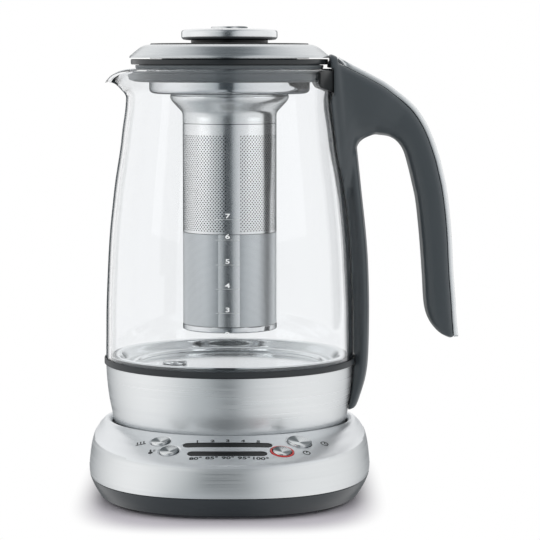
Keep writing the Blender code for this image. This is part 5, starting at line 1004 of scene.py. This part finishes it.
HOOK_RADIUS = 0.0568
GRIP_REACH = 0.1288
SPINE_REACH = 0.0800
HANDLE_TOP = 0.2440
TIP_LEVEL = 0.0846
SPINE_FOOT = 0.0437
SPINE_HALF = 0.0175
SPINE_ROOT = 0.0295         # inside the jug, until the jug's outside is cut away
GRIP_HALF = 0.0125
WEB_HALF = 0.0165
GRIP_PATH = (
    (0.0, 1.019, 0.10, 0.400), (0.063, 1.006, 0.15, 0.480), (0.067, 0.988, 0.20, 0.580),
    (0.18, 0.961, 0.225, 0.690), (0.40, 0.909, 0.335, 0.7265), (0.512, 0.873, 0.410, 0.7275),
    (0.610, 0.837, 0.480, 0.722), (0.688, 0.797, 0.540, 0.705), (0.763, 0.737, 0.590, 0.672),
    (0.828, 0.657, 0.630, 0.612), (0.864, 0.595, 0.660, 0.555), (0.898, 0.521, 0.690, 0.490),
    (0.930, 0.397, 0.720, 0.368), (0.950, 0.241, 0.743, 0.235), (0.967, 0.145, 0.756, 0.139),
    (0.973, 0.105, 0.776, 0.088), (0.979, 0.068, 0.820, 0.048), (0.987, 0.033, 0.885, 0.017),
    (0.995, 0.004, 0.960, 0.0))
SHOULDER_REACH = 0.009      # where the moulding is deeper, its shoulder stays as small as here
HEAD_STATIONS = 3           # the first few lie ahead of the trim, level with its face
SPINE_PATH = (
    (0.45, 0.0), (0.66, 0.006), (0.80, 0.045), (0.93, 0.100), (0.985, 0.165), (1.0, 0.275), (0.99, 0.356),
    (0.96, 0.440), (0.90, 0.522), (0.81, 0.615), (0.74, 0.690), (0.66, 0.770), (0.52, 0.880), (0.42, 0.960),
    (0.05, 0.990))
SPINE_SECTION = (           # along the reach and to the side: a nose, a flute, and flat cheeks
    (1.0, 0.0), (1.0, 0.30), (0.985, 0.50), (0.95, 0.64), (0.88, 0.72), (0.80, 0.70), (0.73, 0.60),
    (0.65, 0.56), (0.57, 0.64), (0.52, 0.86), (0.47, 1.0), (0.30, 1.0), (-1.0, 1.0), (-1.0, 0.0))
HANDLE_GRAIN = 0.0008       # the moulding is rebuilt from cubes of this size, which rounds its joins
GRIP_SECTION = ((1.0, 0.0), (1.0, 0.50), (0.99, 0.80), (0.90, 0.95), (0.72, 1.0), (0.30, 1.0), (-0.20, 0.98),
                (-0.60, 0.92), (-0.86, 0.74), (-0.97, 0.45), (-1.0, 0.0))


def handle_point(out, up):
    """A point in the handle's plane from its shares of the reach and of the height."""
    return Vector((between(HOOK_RADIUS, GRIP_REACH, out), 0.0, between(TIP_LEVEL, HANDLE_TOP, up)))


def handle_ring(outer, inner, half_width, section):
    """The moulding's section between two points in the handle's plane."""
    centre = (outer + inner) / 2
    reach = (outer - inner) / 2
    right = [centre + reach * along + Vector((0.0, half_width * wide, 0.0)) for along, wide in section]
    return right + [Vector((point.x, -point.y, point.z)) for point in right[-2:0:-1]]


grip_rings = []
for index, (back_out, back_up, palm_out, palm_up) in enumerate(eased(GRIP_PATH, 4)):
    place = index / 4
    half = between(WEB_HALF, GRIP_HALF, min(place / 6, 1.0))
    tip = max(0.0, place - 14) / 4
    half *= math.sqrt(max(1 - tip ** 3, 0.0)) * 0.45 + 0.55
    outer, inner = handle_point(back_out, back_up), handle_point(palm_out, palm_up)
    soft = min(1.0, SHOULDER_REACH / ((outer - inner).length / 2))
    section = [(1 - (1 - along) * soft if along > 0.6 else along, wide) for along, wide in GRIP_SECTION]
    grip_rings.append(handle_ring(outer, inner, half, section))
body = capped(lofted("handle_moulding", grip_rings))

spine_rings = []
for out, up in eased(SPINE_PATH[::-1], 4):
    height = between(SPINE_FOOT, HANDLE_TOP, up)
    nose = Vector((between(HOOK_RADIUS, SPINE_REACH, out), 0.0, height))
    spine_rings.append(handle_ring(nose, Vector((SPINE_ROOT, 0.0, height)), SPINE_HALF, SPINE_SECTION))
cut(body, capped(lofted("handle_spine", spine_rings)), "UNION")

clear_of = [(0.0, 0.2460), (HOOK_RADIUS, 0.2460), (HOOK_RADIUS, 0.2388), (0.0611, 0.2388), (0.0611, 0.2242)]
clear_of += [(radius + RUNNING_GAP, height) for radius, height in side[::-1][1:-1]]
clear_of += [(0.0725, 0.0749), (0.0725, 0.0698)]
clear_of += [(radius + RUNNING_GAP, height) for radius, height in outside if 0.0380 < height < 0.0697]
clear_of += [(clear_of[-1][0] - 0.001, 0.0370), (0.0, 0.0370)]
cut(body, turned("jug_outside", clear_of, 144, closed=False))
modify(body, "REMESH", mode="VOXEL", voxel_size=HANDLE_GRAIN, adaptivity=0.0)
modify(body, "SMOOTH", factor=0.5, iterations=3)

# Slate ABS with a fine tool texture: half glossy, with long soft lights down the grip.
handle_abs = moulded_plastic("abs_moulded_handle", "#43494d", 0.33, 0.4, 0.05)
finish_piece(body, handle_abs, "jug", ["handle_body"], 60)
dress(screw_steel, "handle_screw")


# Handle trim: a strip of brushed stainless let into the grip's back, rounded at its upper end.

TRIM_THICKNESS = 0.0026
TRIM_HALF = 0.0105
TRIM_GAP = 0.0001
TRIM_HEAD_RUN = 0.0075      # how far from each end the strip starts to narrow
TRIM_TIP_RUN = 0.0060

back = [(handle_point(a, b).x, handle_point(a, b).z) for a, b, _, _ in GRIP_PATH[HEAD_STATIONS:]]
root = handle_point(0.060, 0.990)
back = eased([(root.x, root.z)] + back, 6)
travel = [0.0]
for (x0, z0), (x1, z1) in zip(back, back[1:]):
    travel.append(travel[-1] + math.hypot(x1 - x0, z1 - z0))
trim_section = ((0.0, 1.0), (0.55, 1.0), (0.80, 0.965), (0.95, 0.90), (1.0, 0.80), (1.0, 0.40), (1.0, 0.0))
layers = [inner_side(back, -TRIM_GAP - TRIM_THICKNESS * depth) for depth, _ in trim_section]
trim_rings = []
for index, run in enumerate(travel):
    near_end = min(run / TRIM_HEAD_RUN, 1.0)
    far_end = min((travel[-1] - run) / TRIM_TIP_RUN, 1.0)
    half = TRIM_HALF * (0.30 + 0.70 * math.sqrt(max(1 - (1 - near_end) ** 2, 0.0)))
    half *= 0.62 + 0.38 * math.sqrt(max(1 - (1 - far_end) ** 2, 0.0))
    right = [(layer[index][0], -half * wide, layer[index][1])
             for layer, (_, wide) in zip(layers, trim_section)]
    trim_rings.append(right + [(x, -y, z) for x, y, z in right[-2::-1]])
# Stainless strip, brushed along the grip: strokes down its length and a crisp light edge.
trim_steel = brushed_stainless("brushed_steel_trim", (60.0, 2400.0, 60.0), roughness=0.28, grain=0.04)
trim = capped(lofted("grip_trim", trim_rings))
finish_piece(trim, trim_steel, "jug", ["handle_trim"], 40)


# Rim collar: a black nylon band from the head of the handle round the outside of the glass neck.
# Its lower edge slants down towards the handle.

COLLAR_HALF_DEGREES = 32.5
COLLAR_STEPS = 48
COLLAR_INSIDE = 0.0593
COLLAR_OUTSIDE = 0.0608
COLLAR_LOW = 0.2245
COLLAR_HIGH = 0.2375
COLLAR_EDGE = 0.0005        # the chamfer at its outer corners
COLLAR_SLANT = 0.0035       # how much the lower edge rises away from the handle
COLLAR_END = 0.9            # the share of its sweep past which the ends narrow

collar_rings = []
for index in range(COLLAR_STEPS + 1):
    share = 2 * index / COLLAR_STEPS - 1
    azimuth = math.pi / 2 + math.radians(COLLAR_HALF_DEGREES) * share
    away = abs(share)
    ending = max(away - COLLAR_END, 0.0) / (1 - COLLAR_END)
    low = COLLAR_LOW + COLLAR_SLANT * away ** 1.5 + 0.0020 * ending
    high = COLLAR_HIGH - 0.0012 * ending
    collar_rings.append([at_azimuth(azimuth, radius, level) for radius, level in (
        (COLLAR_INSIDE, high), (COLLAR_OUTSIDE - 0.0004, high), (COLLAR_OUTSIDE, high - COLLAR_EDGE),
        (COLLAR_OUTSIDE, low + COLLAR_EDGE), (COLLAR_OUTSIDE - 0.0004, low), (COLLAR_INSIDE, low))])
finish_piece(capped(lofted("rim_collar", collar_rings)), post_nylon, "jug", ["handle_rim_clip"], 40)


# Lid: a moulded body whose band overlaps the glass, with a skirt inside the neck. Three lugs in the
# skirt carry the tea basket like a bayonet.

LID_RADIUS = 0.0562
BAND_LOW = 0.2408
BAND_HIGH = 0.2439
LID_SKIRT = 0.0515
SKIRT_LOW = 0.2310
MOUTH = 0.0400
LUG_DEGREES = 24
LID_INSIDE = 0.0490
LID_CEILING = 0.2414
LID_LUGS = (0.0462, 0.0500, 0.2325, 0.2343)     # inner and outer radius, lower and upper level

# Near-black ABS: half glossy, a plain dark line between bright steel and glass.
lid_abs = moulded_plastic("abs_moulded_lid", "#1d2124", 0.30, 0.35, 0.04)


def lugs_on(piece, inner, outer, low, high):
    """Join three short arcs to the ring that carries them."""
    for lug in range(3):
        rings = []
        for step in range(7):
            azimuth = math.radians(120 * lug + LUG_DEGREES * step / 6)
            corners = ((inner, high), (outer, high), (outer, low), (inner, low))
            rings.append([at_azimuth(azimuth, *corner) for corner in corners])
        cut(piece, capped(lofted("lug", rings)), "UNION")


lid = turned("lid_moulding", [
    (LID_RADIUS - 0.0004, BAND_HIGH), (LID_RADIUS, BAND_HIGH - 0.0004), (LID_RADIUS, BAND_LOW + 0.0007),
    (LID_RADIUS - 0.0002, BAND_LOW + 0.0002), (LID_RADIUS - 0.0007, BAND_LOW), (LID_SKIRT, BAND_LOW),
    (LID_SKIRT, SKIRT_LOW + 0.0003), (LID_SKIRT - 0.0003, SKIRT_LOW), (LID_INSIDE + 0.0003, SKIRT_LOW),
    (LID_INSIDE, SKIRT_LOW + 0.0003), (LID_INSIDE, LID_CEILING), (MOUTH, LID_CEILING), (MOUTH, BAND_HIGH)],
    128)
lugs_on(lid, *LID_LUGS)
finish_piece(lid, lid_abs, "lid", ["lid_body"])


# Lid gasket: a grey silicone ring pulled over the skirt, ribbed, its lip bearing on the glass.

gasket = turned("lid_ring_seal", [
    (0.0534, 0.2405), (0.0536, 0.2403), (0.0536, 0.2392), (0.0533, 0.2389), (0.0533, 0.2379),
    (0.0536, 0.2376), (0.0536, 0.2362), (0.0533, 0.2359), (0.0533, 0.2353), (0.0537, 0.2349),
    (0.0558, 0.2332), (0.0561, 0.2329), (0.0561, 0.2322), (0.0558, 0.2319), (0.0536, 0.2311),
    (0.0532, 0.2310), (0.0518, 0.2310), (0.0518, 0.2405)], 128)
finish_piece(gasket, grey_silicone, "lid", ["lid_gasket"])


# Lid ring: spun stainless, brushed round and round, convex from the cover down to a rolled edge.

CROWN_SHEET = 0.0008

# Spun steel brushed on the lathe: fine rings, and a light that swings round the crown.
ring_steel = brushed_stainless("brushed_steel_spun", (16.0, 16.0, 3000.0), "#d6d9db", 0.24, 0.05)
crown = [(0.0453, 0.2442)] + eased([
    (0.0453, 0.2513), (0.0474, 0.2511), (0.0500, 0.2501), (0.0522, 0.2485), (0.0547, 0.2464),
    (0.0559, 0.2454), (LID_RADIUS, 0.2449)], 4) + [(LID_RADIUS, 0.2446)]
spun = turned("lid_crown", crown + inner_side(crown, -CROWN_SHEET)[::-1], 144)
finish_piece(spun, ring_steel, "lid", ["lid_trim_ring"], 40)


# Cover: a dark glossy disc with a plug below, which lifts out by its knob. A grey seal lies under
# its edge and one screw comes up through it.

# Black ABS off a smooth tool: a wide, low gloss that greys towards the lamps.
cover_gloss = moulded_plastic("abs_moulded_gloss", "#1b1e20", 0.30, 0.3, 0.01)
disc = turned("cover_plate", [
    (0.0, 0.2528), (0.0219, 0.2528), (0.0380, 0.2528), (0.0446, 0.2528), (0.0449, 0.2527), (0.0450, 0.2525),
    (0.0450, 0.2495), (0.0448, 0.2493), (0.0385, 0.2493), (0.0385, 0.2404), (0.0383, 0.2402),
    (0.0367, 0.2402), (0.0365, 0.2404), (0.0365, 0.2493), (0.0, 0.2493)], 128, closed=False)
screw_way = turned("screw_way", [
    (0.0, 0.245), (0.0018, 0.245), (0.0018, 0.256), (0.0, 0.256)], 24, closed=False)
cut(disc, screw_way)
finish_piece(disc, cover_gloss, "cover", ["cover_disc"])
dress(grey_silicone, "cover_seal")
dress(screw_steel, "knob_screw")


# Knob: a thick stainless disc, turned and brushed, on a black neck, with a small polished cap that
# hides its screw.

neck = turned("knob_collar", [
    (0.0217, 0.2547), (0.0219, 0.2545), (0.0219, 0.2532), (0.0217, 0.2530), (0.0018, 0.2530),
    (0.0018, 0.2547)], 96)
finish_piece(neck, post_nylon, "cover", ["knob_neck"])
# Stainless turned and brushed on the lathe: rings again, closer and brighter than the lid's.
knob_steel = brushed_stainless("brushed_steel_turned", (16.0, 16.0, 3000.0), roughness=0.20, grain=0.05)
knob = turned("knob_grip", [
    (0.0104, 0.2613), (0.0190, 0.2611), (0.0256, 0.2606), (0.0268, 0.2602), (0.0273, 0.2596),
    (0.0274, 0.2589), (0.0274, 0.2565), (0.0272, 0.2557), (0.0262, 0.2549), (0.0240, 0.2546),
    (0.0228, 0.2549), (0.0018, 0.2550), (0.0018, 0.2612)], 128)
finish_piece(knob, knob_steel, "cover", ["knob_disc"], 40)
# The cap takes the buttons' steel, with the same painted highlight and shade wedges in its colour.
cap_disc = turned("knob_button", [
    (0.0, 0.2626), (0.0090, 0.2625), (0.0099, 0.2623), (0.0103, 0.2620), (0.0104, 0.2617), (0.0104, 0.2614),
    (0.0, 0.2614)], 64, closed=False)
face_on(cap_disc)
finish_piece(cap_disc, cap_steel, "cover", ["knob_cap"], 50)


# Tea basket, upper part: a polished stainless drum whose three lugs hook into the lid, and a funnel
# spun from sheet that narrows to the long tube.

TUBE_RADIUS = 0.0268
SEAM_LEVEL = 0.2075
DRUM_SHEET = 0.0010
FUNNEL_SHEET = 0.0006
DRUM_LUGS = (0.0453, 0.0486, 0.2347, 0.2365)

# Mopped stainless: a true mirror, with hard dark lines at its sides, deepened by a painted shade from its
# darker edge tint.
drum_steel = bright_steel("stainless_polished_drum", "#f0f1f2", 0.08, 12.0, "#6f7477")
wall = [(0.0458, 0.2411), (0.0458, 0.2273), (0.04565, 0.22615), (0.0449, 0.2252), (0.0439, 0.2246),
        (0.0428, 0.2243), (0.0360, 0.2243), (0.0328, 0.2243)]
drum = turned("tea_drum", wall + inner_side(wall, DRUM_SHEET)[::-1], 128)
lugs_on(drum, *DRUM_LUGS)
finish_piece(drum, drum_steel, "basket", ["basket_drum"])

flare = eased([
    (0.0334, 0.2240), (0.0338, 0.2230), (0.0337, 0.2217), (0.0328, 0.2200), (0.0311, 0.2181),
    (0.0293, 0.2162), (0.0279, 0.2147), (0.0271, 0.2134), (0.0268, 0.2118), (TUBE_RADIUS, 0.2095),
    (TUBE_RADIUS, SEAM_LEVEL)], 3)
# Stainless left from spinning: brighter to the eye and blurred, so the flare shows no hard image; its darker
# edge tint is a painted shade where it turns away.
spun_steel = bright_steel("stainless_spun_funnel", "#f4f5f5", 0.24, 12.0, "#6f7477")
funnel = turned("tea_funnel", flare + inner_side(flare, FUNNEL_SHEET)[::-1], 112)
finish_piece(funnel, spun_steel, "basket", ["basket_funnel"])


# Tea basket, pierced tube: stainless sheet etched with round holes in staggered rows, rolled and
# welded along a plain strip at the front, with another at the back.

HOLE_PITCH = 0.00213
HOLES_AROUND = 87
HOLE_RADIUS = 0.00043
HOLE_INSIDE = 0.00012       # etched from outside, so that a hole narrows inwards
ROW_PITCH = HOLE_PITCH / 2
TUBE_SHEET = 0.0004
PIERCED_HIGH = 0.2017
FINE_HIGH = 0.1456
PLAIN_DEGREES = (-2.5, 14.0)

# Etched and passivated stainless: pale and satin, so that only broad tones are mirrored; its darker edge
# tint is a painted shade where it turns away.
tube_steel = bright_steel("stainless_etched_tube", "#fbfbfb", 0.21, 8.0, "#6f7477")
# The tube's inside and its holes' walls: near-black steel, a painted shade for the dark inside of the tube,
# so each hole reads as a dark point.
inside_steel = bright_steel("stainless_pickled_inside", "#121416", 0.60, 5.0)


def plain_at(angle, span):
    """Whether an angle from the front lies in the plain strip, or in its twin at the back."""
    degrees = math.degrees(angle)
    turns = [(degrees - turn + 180) % 360 - 180 for turn in (0, 180)]
    return any(span[0] <= turn <= span[1] for turn in turns)


rows = int((PIERCED_HIGH - FINE_HIGH) / ROW_PITCH)
step = math.tau / HOLES_AROUND
corners = []
for row in range(rows + 1):
    level = PIERCED_HIGH - row * ROW_PITCH
    corners.append([((k + 0.5 * ((row + 1) % 2)) * step, level) for k in range(HOLES_AROUND)])
flat = [corner for ring in corners for corner in ring]
faces = []
for row in range(rows + 1):
    for k in range(HOLES_AROUND):
        odd = row % 2
        left = row * HOLES_AROUND + (k - 1 + odd) % HOLES_AROUND
        right = row * HOLES_AROUND + (k + odd) % HOLES_AROUND
        up = (row - 1) * HOLES_AROUND + k
        down = (row + 1) * HOLES_AROUND + k
        angle = (k + 0.5 * odd) * step
        if row == 0:
            faces.append((left, down, right))
        elif row == rows:
            faces.append((left, right, up))
        elif plain_at(angle, PLAIN_DEGREES):
            faces.append((left, down, right, up))
        else:
            level = PIERCED_HIGH - row * ROW_PITCH
            first = len(flat)
            for spoke in range(6):
                turn = math.pi / 6 + math.pi / 3 * spoke
                flat.append((angle + HOLE_RADIUS * math.cos(turn) / TUBE_RADIUS,
                             level + HOLE_RADIUS * math.sin(turn)))
            h30, h90, h150, h210, h270, h330 = range(first, first + 6)
            faces += [(right, up, h90, h30), (up, left, h150, h90), (left, h210, h150),
                      (left, down, h270, h210), (down, right, h330, h270), (right, h30, h330)]
for ring, level in ((0, SEAM_LEVEL - 0.0003), (rows, FINE_HIGH)):
    first = len(flat)
    flat += [(angle, level) for angle, _ in corners[ring]]
    for k in range(HOLES_AROUND):
        after = (k + 1) % HOLES_AROUND
        inner = (ring * HOLES_AROUND + k, ring * HOLES_AROUND + after)
        outer = (first + k, first + after)
        faces.append((*inner, outer[1], outer[0]) if ring == 0 else (*inner[::-1], *outer))
pierced = mesh_piece("pierced_tube", [at_azimuth(angle, TUBE_RADIUS, level) for angle, level in flat], faces)
pick(pierced)
face_outwards()
modify(pierced, "SOLIDIFY", thickness=TUBE_SHEET, offset=-1.0)
finish_piece(pierced, tube_steel, "basket", ["basket_sieve"], 50)
for vert in pierced.data.vertices:
    radius = vert.co.to_2d().length
    row = round((PIERCED_HIGH - vert.co.z) / ROW_PITCH)
    turn = azimuth_of(vert.co)
    centre = (round(turn / step - 0.5 * (row % 2)) + 0.5 * (row % 2)) * step
    off_turn = (turn - centre) * TUBE_RADIUS
    off_level = vert.co.z - (PIERCED_HIGH - row * ROW_PITCH)
    if radius < TUBE_RADIUS - TUBE_SHEET / 2 and math.hypot(off_turn, off_level) < HOLE_RADIUS * 1.1:
        share = HOLE_INSIDE / HOLE_RADIUS
        vert.co = at_azimuth(centre + off_turn * share / TUBE_RADIUS, radius,
                             vert.co.z + off_level * (share - 1))
# Painted shade: the inside faces and the holes' walls take the near-black steel.
second_finish(pierced, inside_steel, lambda face: face.center.to_2d().length < TUBE_RADIUS - TUBE_SHEET / 4)


# Tea basket, fine tube: the same tube lower down, where woven mesh runs between the two plain
# strips. The weave is drawn at nine tenths of a millimetre, about twice the real one, to show.

WEAVE_MM = 0.9
FINE_LOW = 0.0931
FINE_PLAIN_DEGREES = (-11.5, 13.0)


def woven_steel(name):
    """Woven wire: a fine crossed pattern, dull to reflect, its gaps painted darker: a painted shade for the
    dark inside seen through them.
    """
    material, tree, shader = new_material(name, "#c9cdcf", 0.30, 1.0)
    place = add_node(tree, "TexCoord").outputs["Object"]
    parts = add_node(tree, "SeparateXYZ", {"Vector": place})
    turn = add_node(tree, "Math", {0: parts.outputs["X"], 1: parts.outputs["Y"]}, operation="ARCTAN2")
    run = add_node(tree, "Math", {0: turn, 1: TUBE_RADIUS}, operation="MULTIPLY")
    lines = []
    for operation in ("ADD", "SUBTRACT"):
        slant = add_node(tree, "Math", {0: run, 1: parts.outputs["Z"]}, operation=operation)
        phase = add_node(tree, "Math", {0: slant, 1: math.tau / (WEAVE_MM / 1000) / math.sqrt(2)},
                         operation="MULTIPLY")
        lines.append(add_node(tree, "Math", {0: phase}, operation="COSINE"))
    cross = add_node(tree, "Math", {0: lines[0], 1: lines[1]}, operation="MULTIPLY")
    gap = add_node(tree, "MapRange", {"Value": cross, "From Min": -0.2, "From Max": 0.7})
    tone = add_node(tree, "ValToRGB", {"Fac": gap})
    fill_ramp(tone, ((0.0, "#dfe2e4"), (1.0, "#7d8488")))
    feed(shader, {"Base Color": tone})
    relief = add_node(tree, "Bump", {"Height": cross, "Strength": 0.25, "Distance": 0.0001})
    feed(shader, {"Normal": relief})
    return material


mesh_steel = woven_steel("stainless_woven_mesh")
fine_wall = [(TUBE_RADIUS, FINE_HIGH - 0.0003), (TUBE_RADIUS, 0.1280), (TUBE_RADIUS, 0.1110),
             (TUBE_RADIUS, FINE_LOW)]
fine = turned("woven_tube", fine_wall + [(0.0263, FINE_LOW), (0.0263, FINE_HIGH - 0.0003)], 112)
finish_piece(fine, mesh_steel, "basket", ["basket_fine_mesh"])
second_finish(fine, tube_steel, lambda face: plain_at(azimuth_of(face.center), FINE_PLAIN_DEGREES))


# Tea basket, foot: a polished cap pressed over the tube's end, its floor a flat sieve.

FOOT_FLOOR = 0.0902
DRAIN_RADIUS = 0.0007
DRAIN_CIRCLES = ((1, 0.0), (6, 0.0040), (12, 0.0080), (18, 0.0120), (24, 0.0160), (30, 0.0200))

# Polished like the drum: the same mirror and hard dark sides, deepened by a painted shade from the darker
# edge tint, small and low in the jug.
foot_steel = bright_steel("stainless_polished_cap", "#f0f1f2", 0.10, 8.0, "#6f7477")
foot = turned("tea_foot", [
    (0.0, 0.0908), (0.0244, 0.0908), (0.0256, 0.0912), (0.0260, 0.0922), (0.0260, 0.0928), (0.0268, 0.0928),
    (0.0270, 0.0926), (0.0270, 0.0904), (0.0269, 0.0900), (0.0264, 0.0897), (0.0256, 0.0896),
    (0.0, 0.0896)], 112, closed=False)
for count, circle in DRAIN_CIRCLES:
    bpy.ops.object.select_all(action="DESELECT")
    holes = []
    for hole in range(count):
        bpy.ops.mesh.primitive_cylinder_add(vertices=10, radius=DRAIN_RADIUS, depth=0.004,
                                            location=at_azimuth(math.tau * hole / count, circle, FOOT_FLOOR))
        holes.append(bpy.context.object)
    drill = joined(holes[::-1])
    bpy.ops.object.transform_apply(location=True, rotation=True, scale=True)
    cut(foot, drill)
finish_piece(foot, foot_steel, "basket", ["basket_base"])
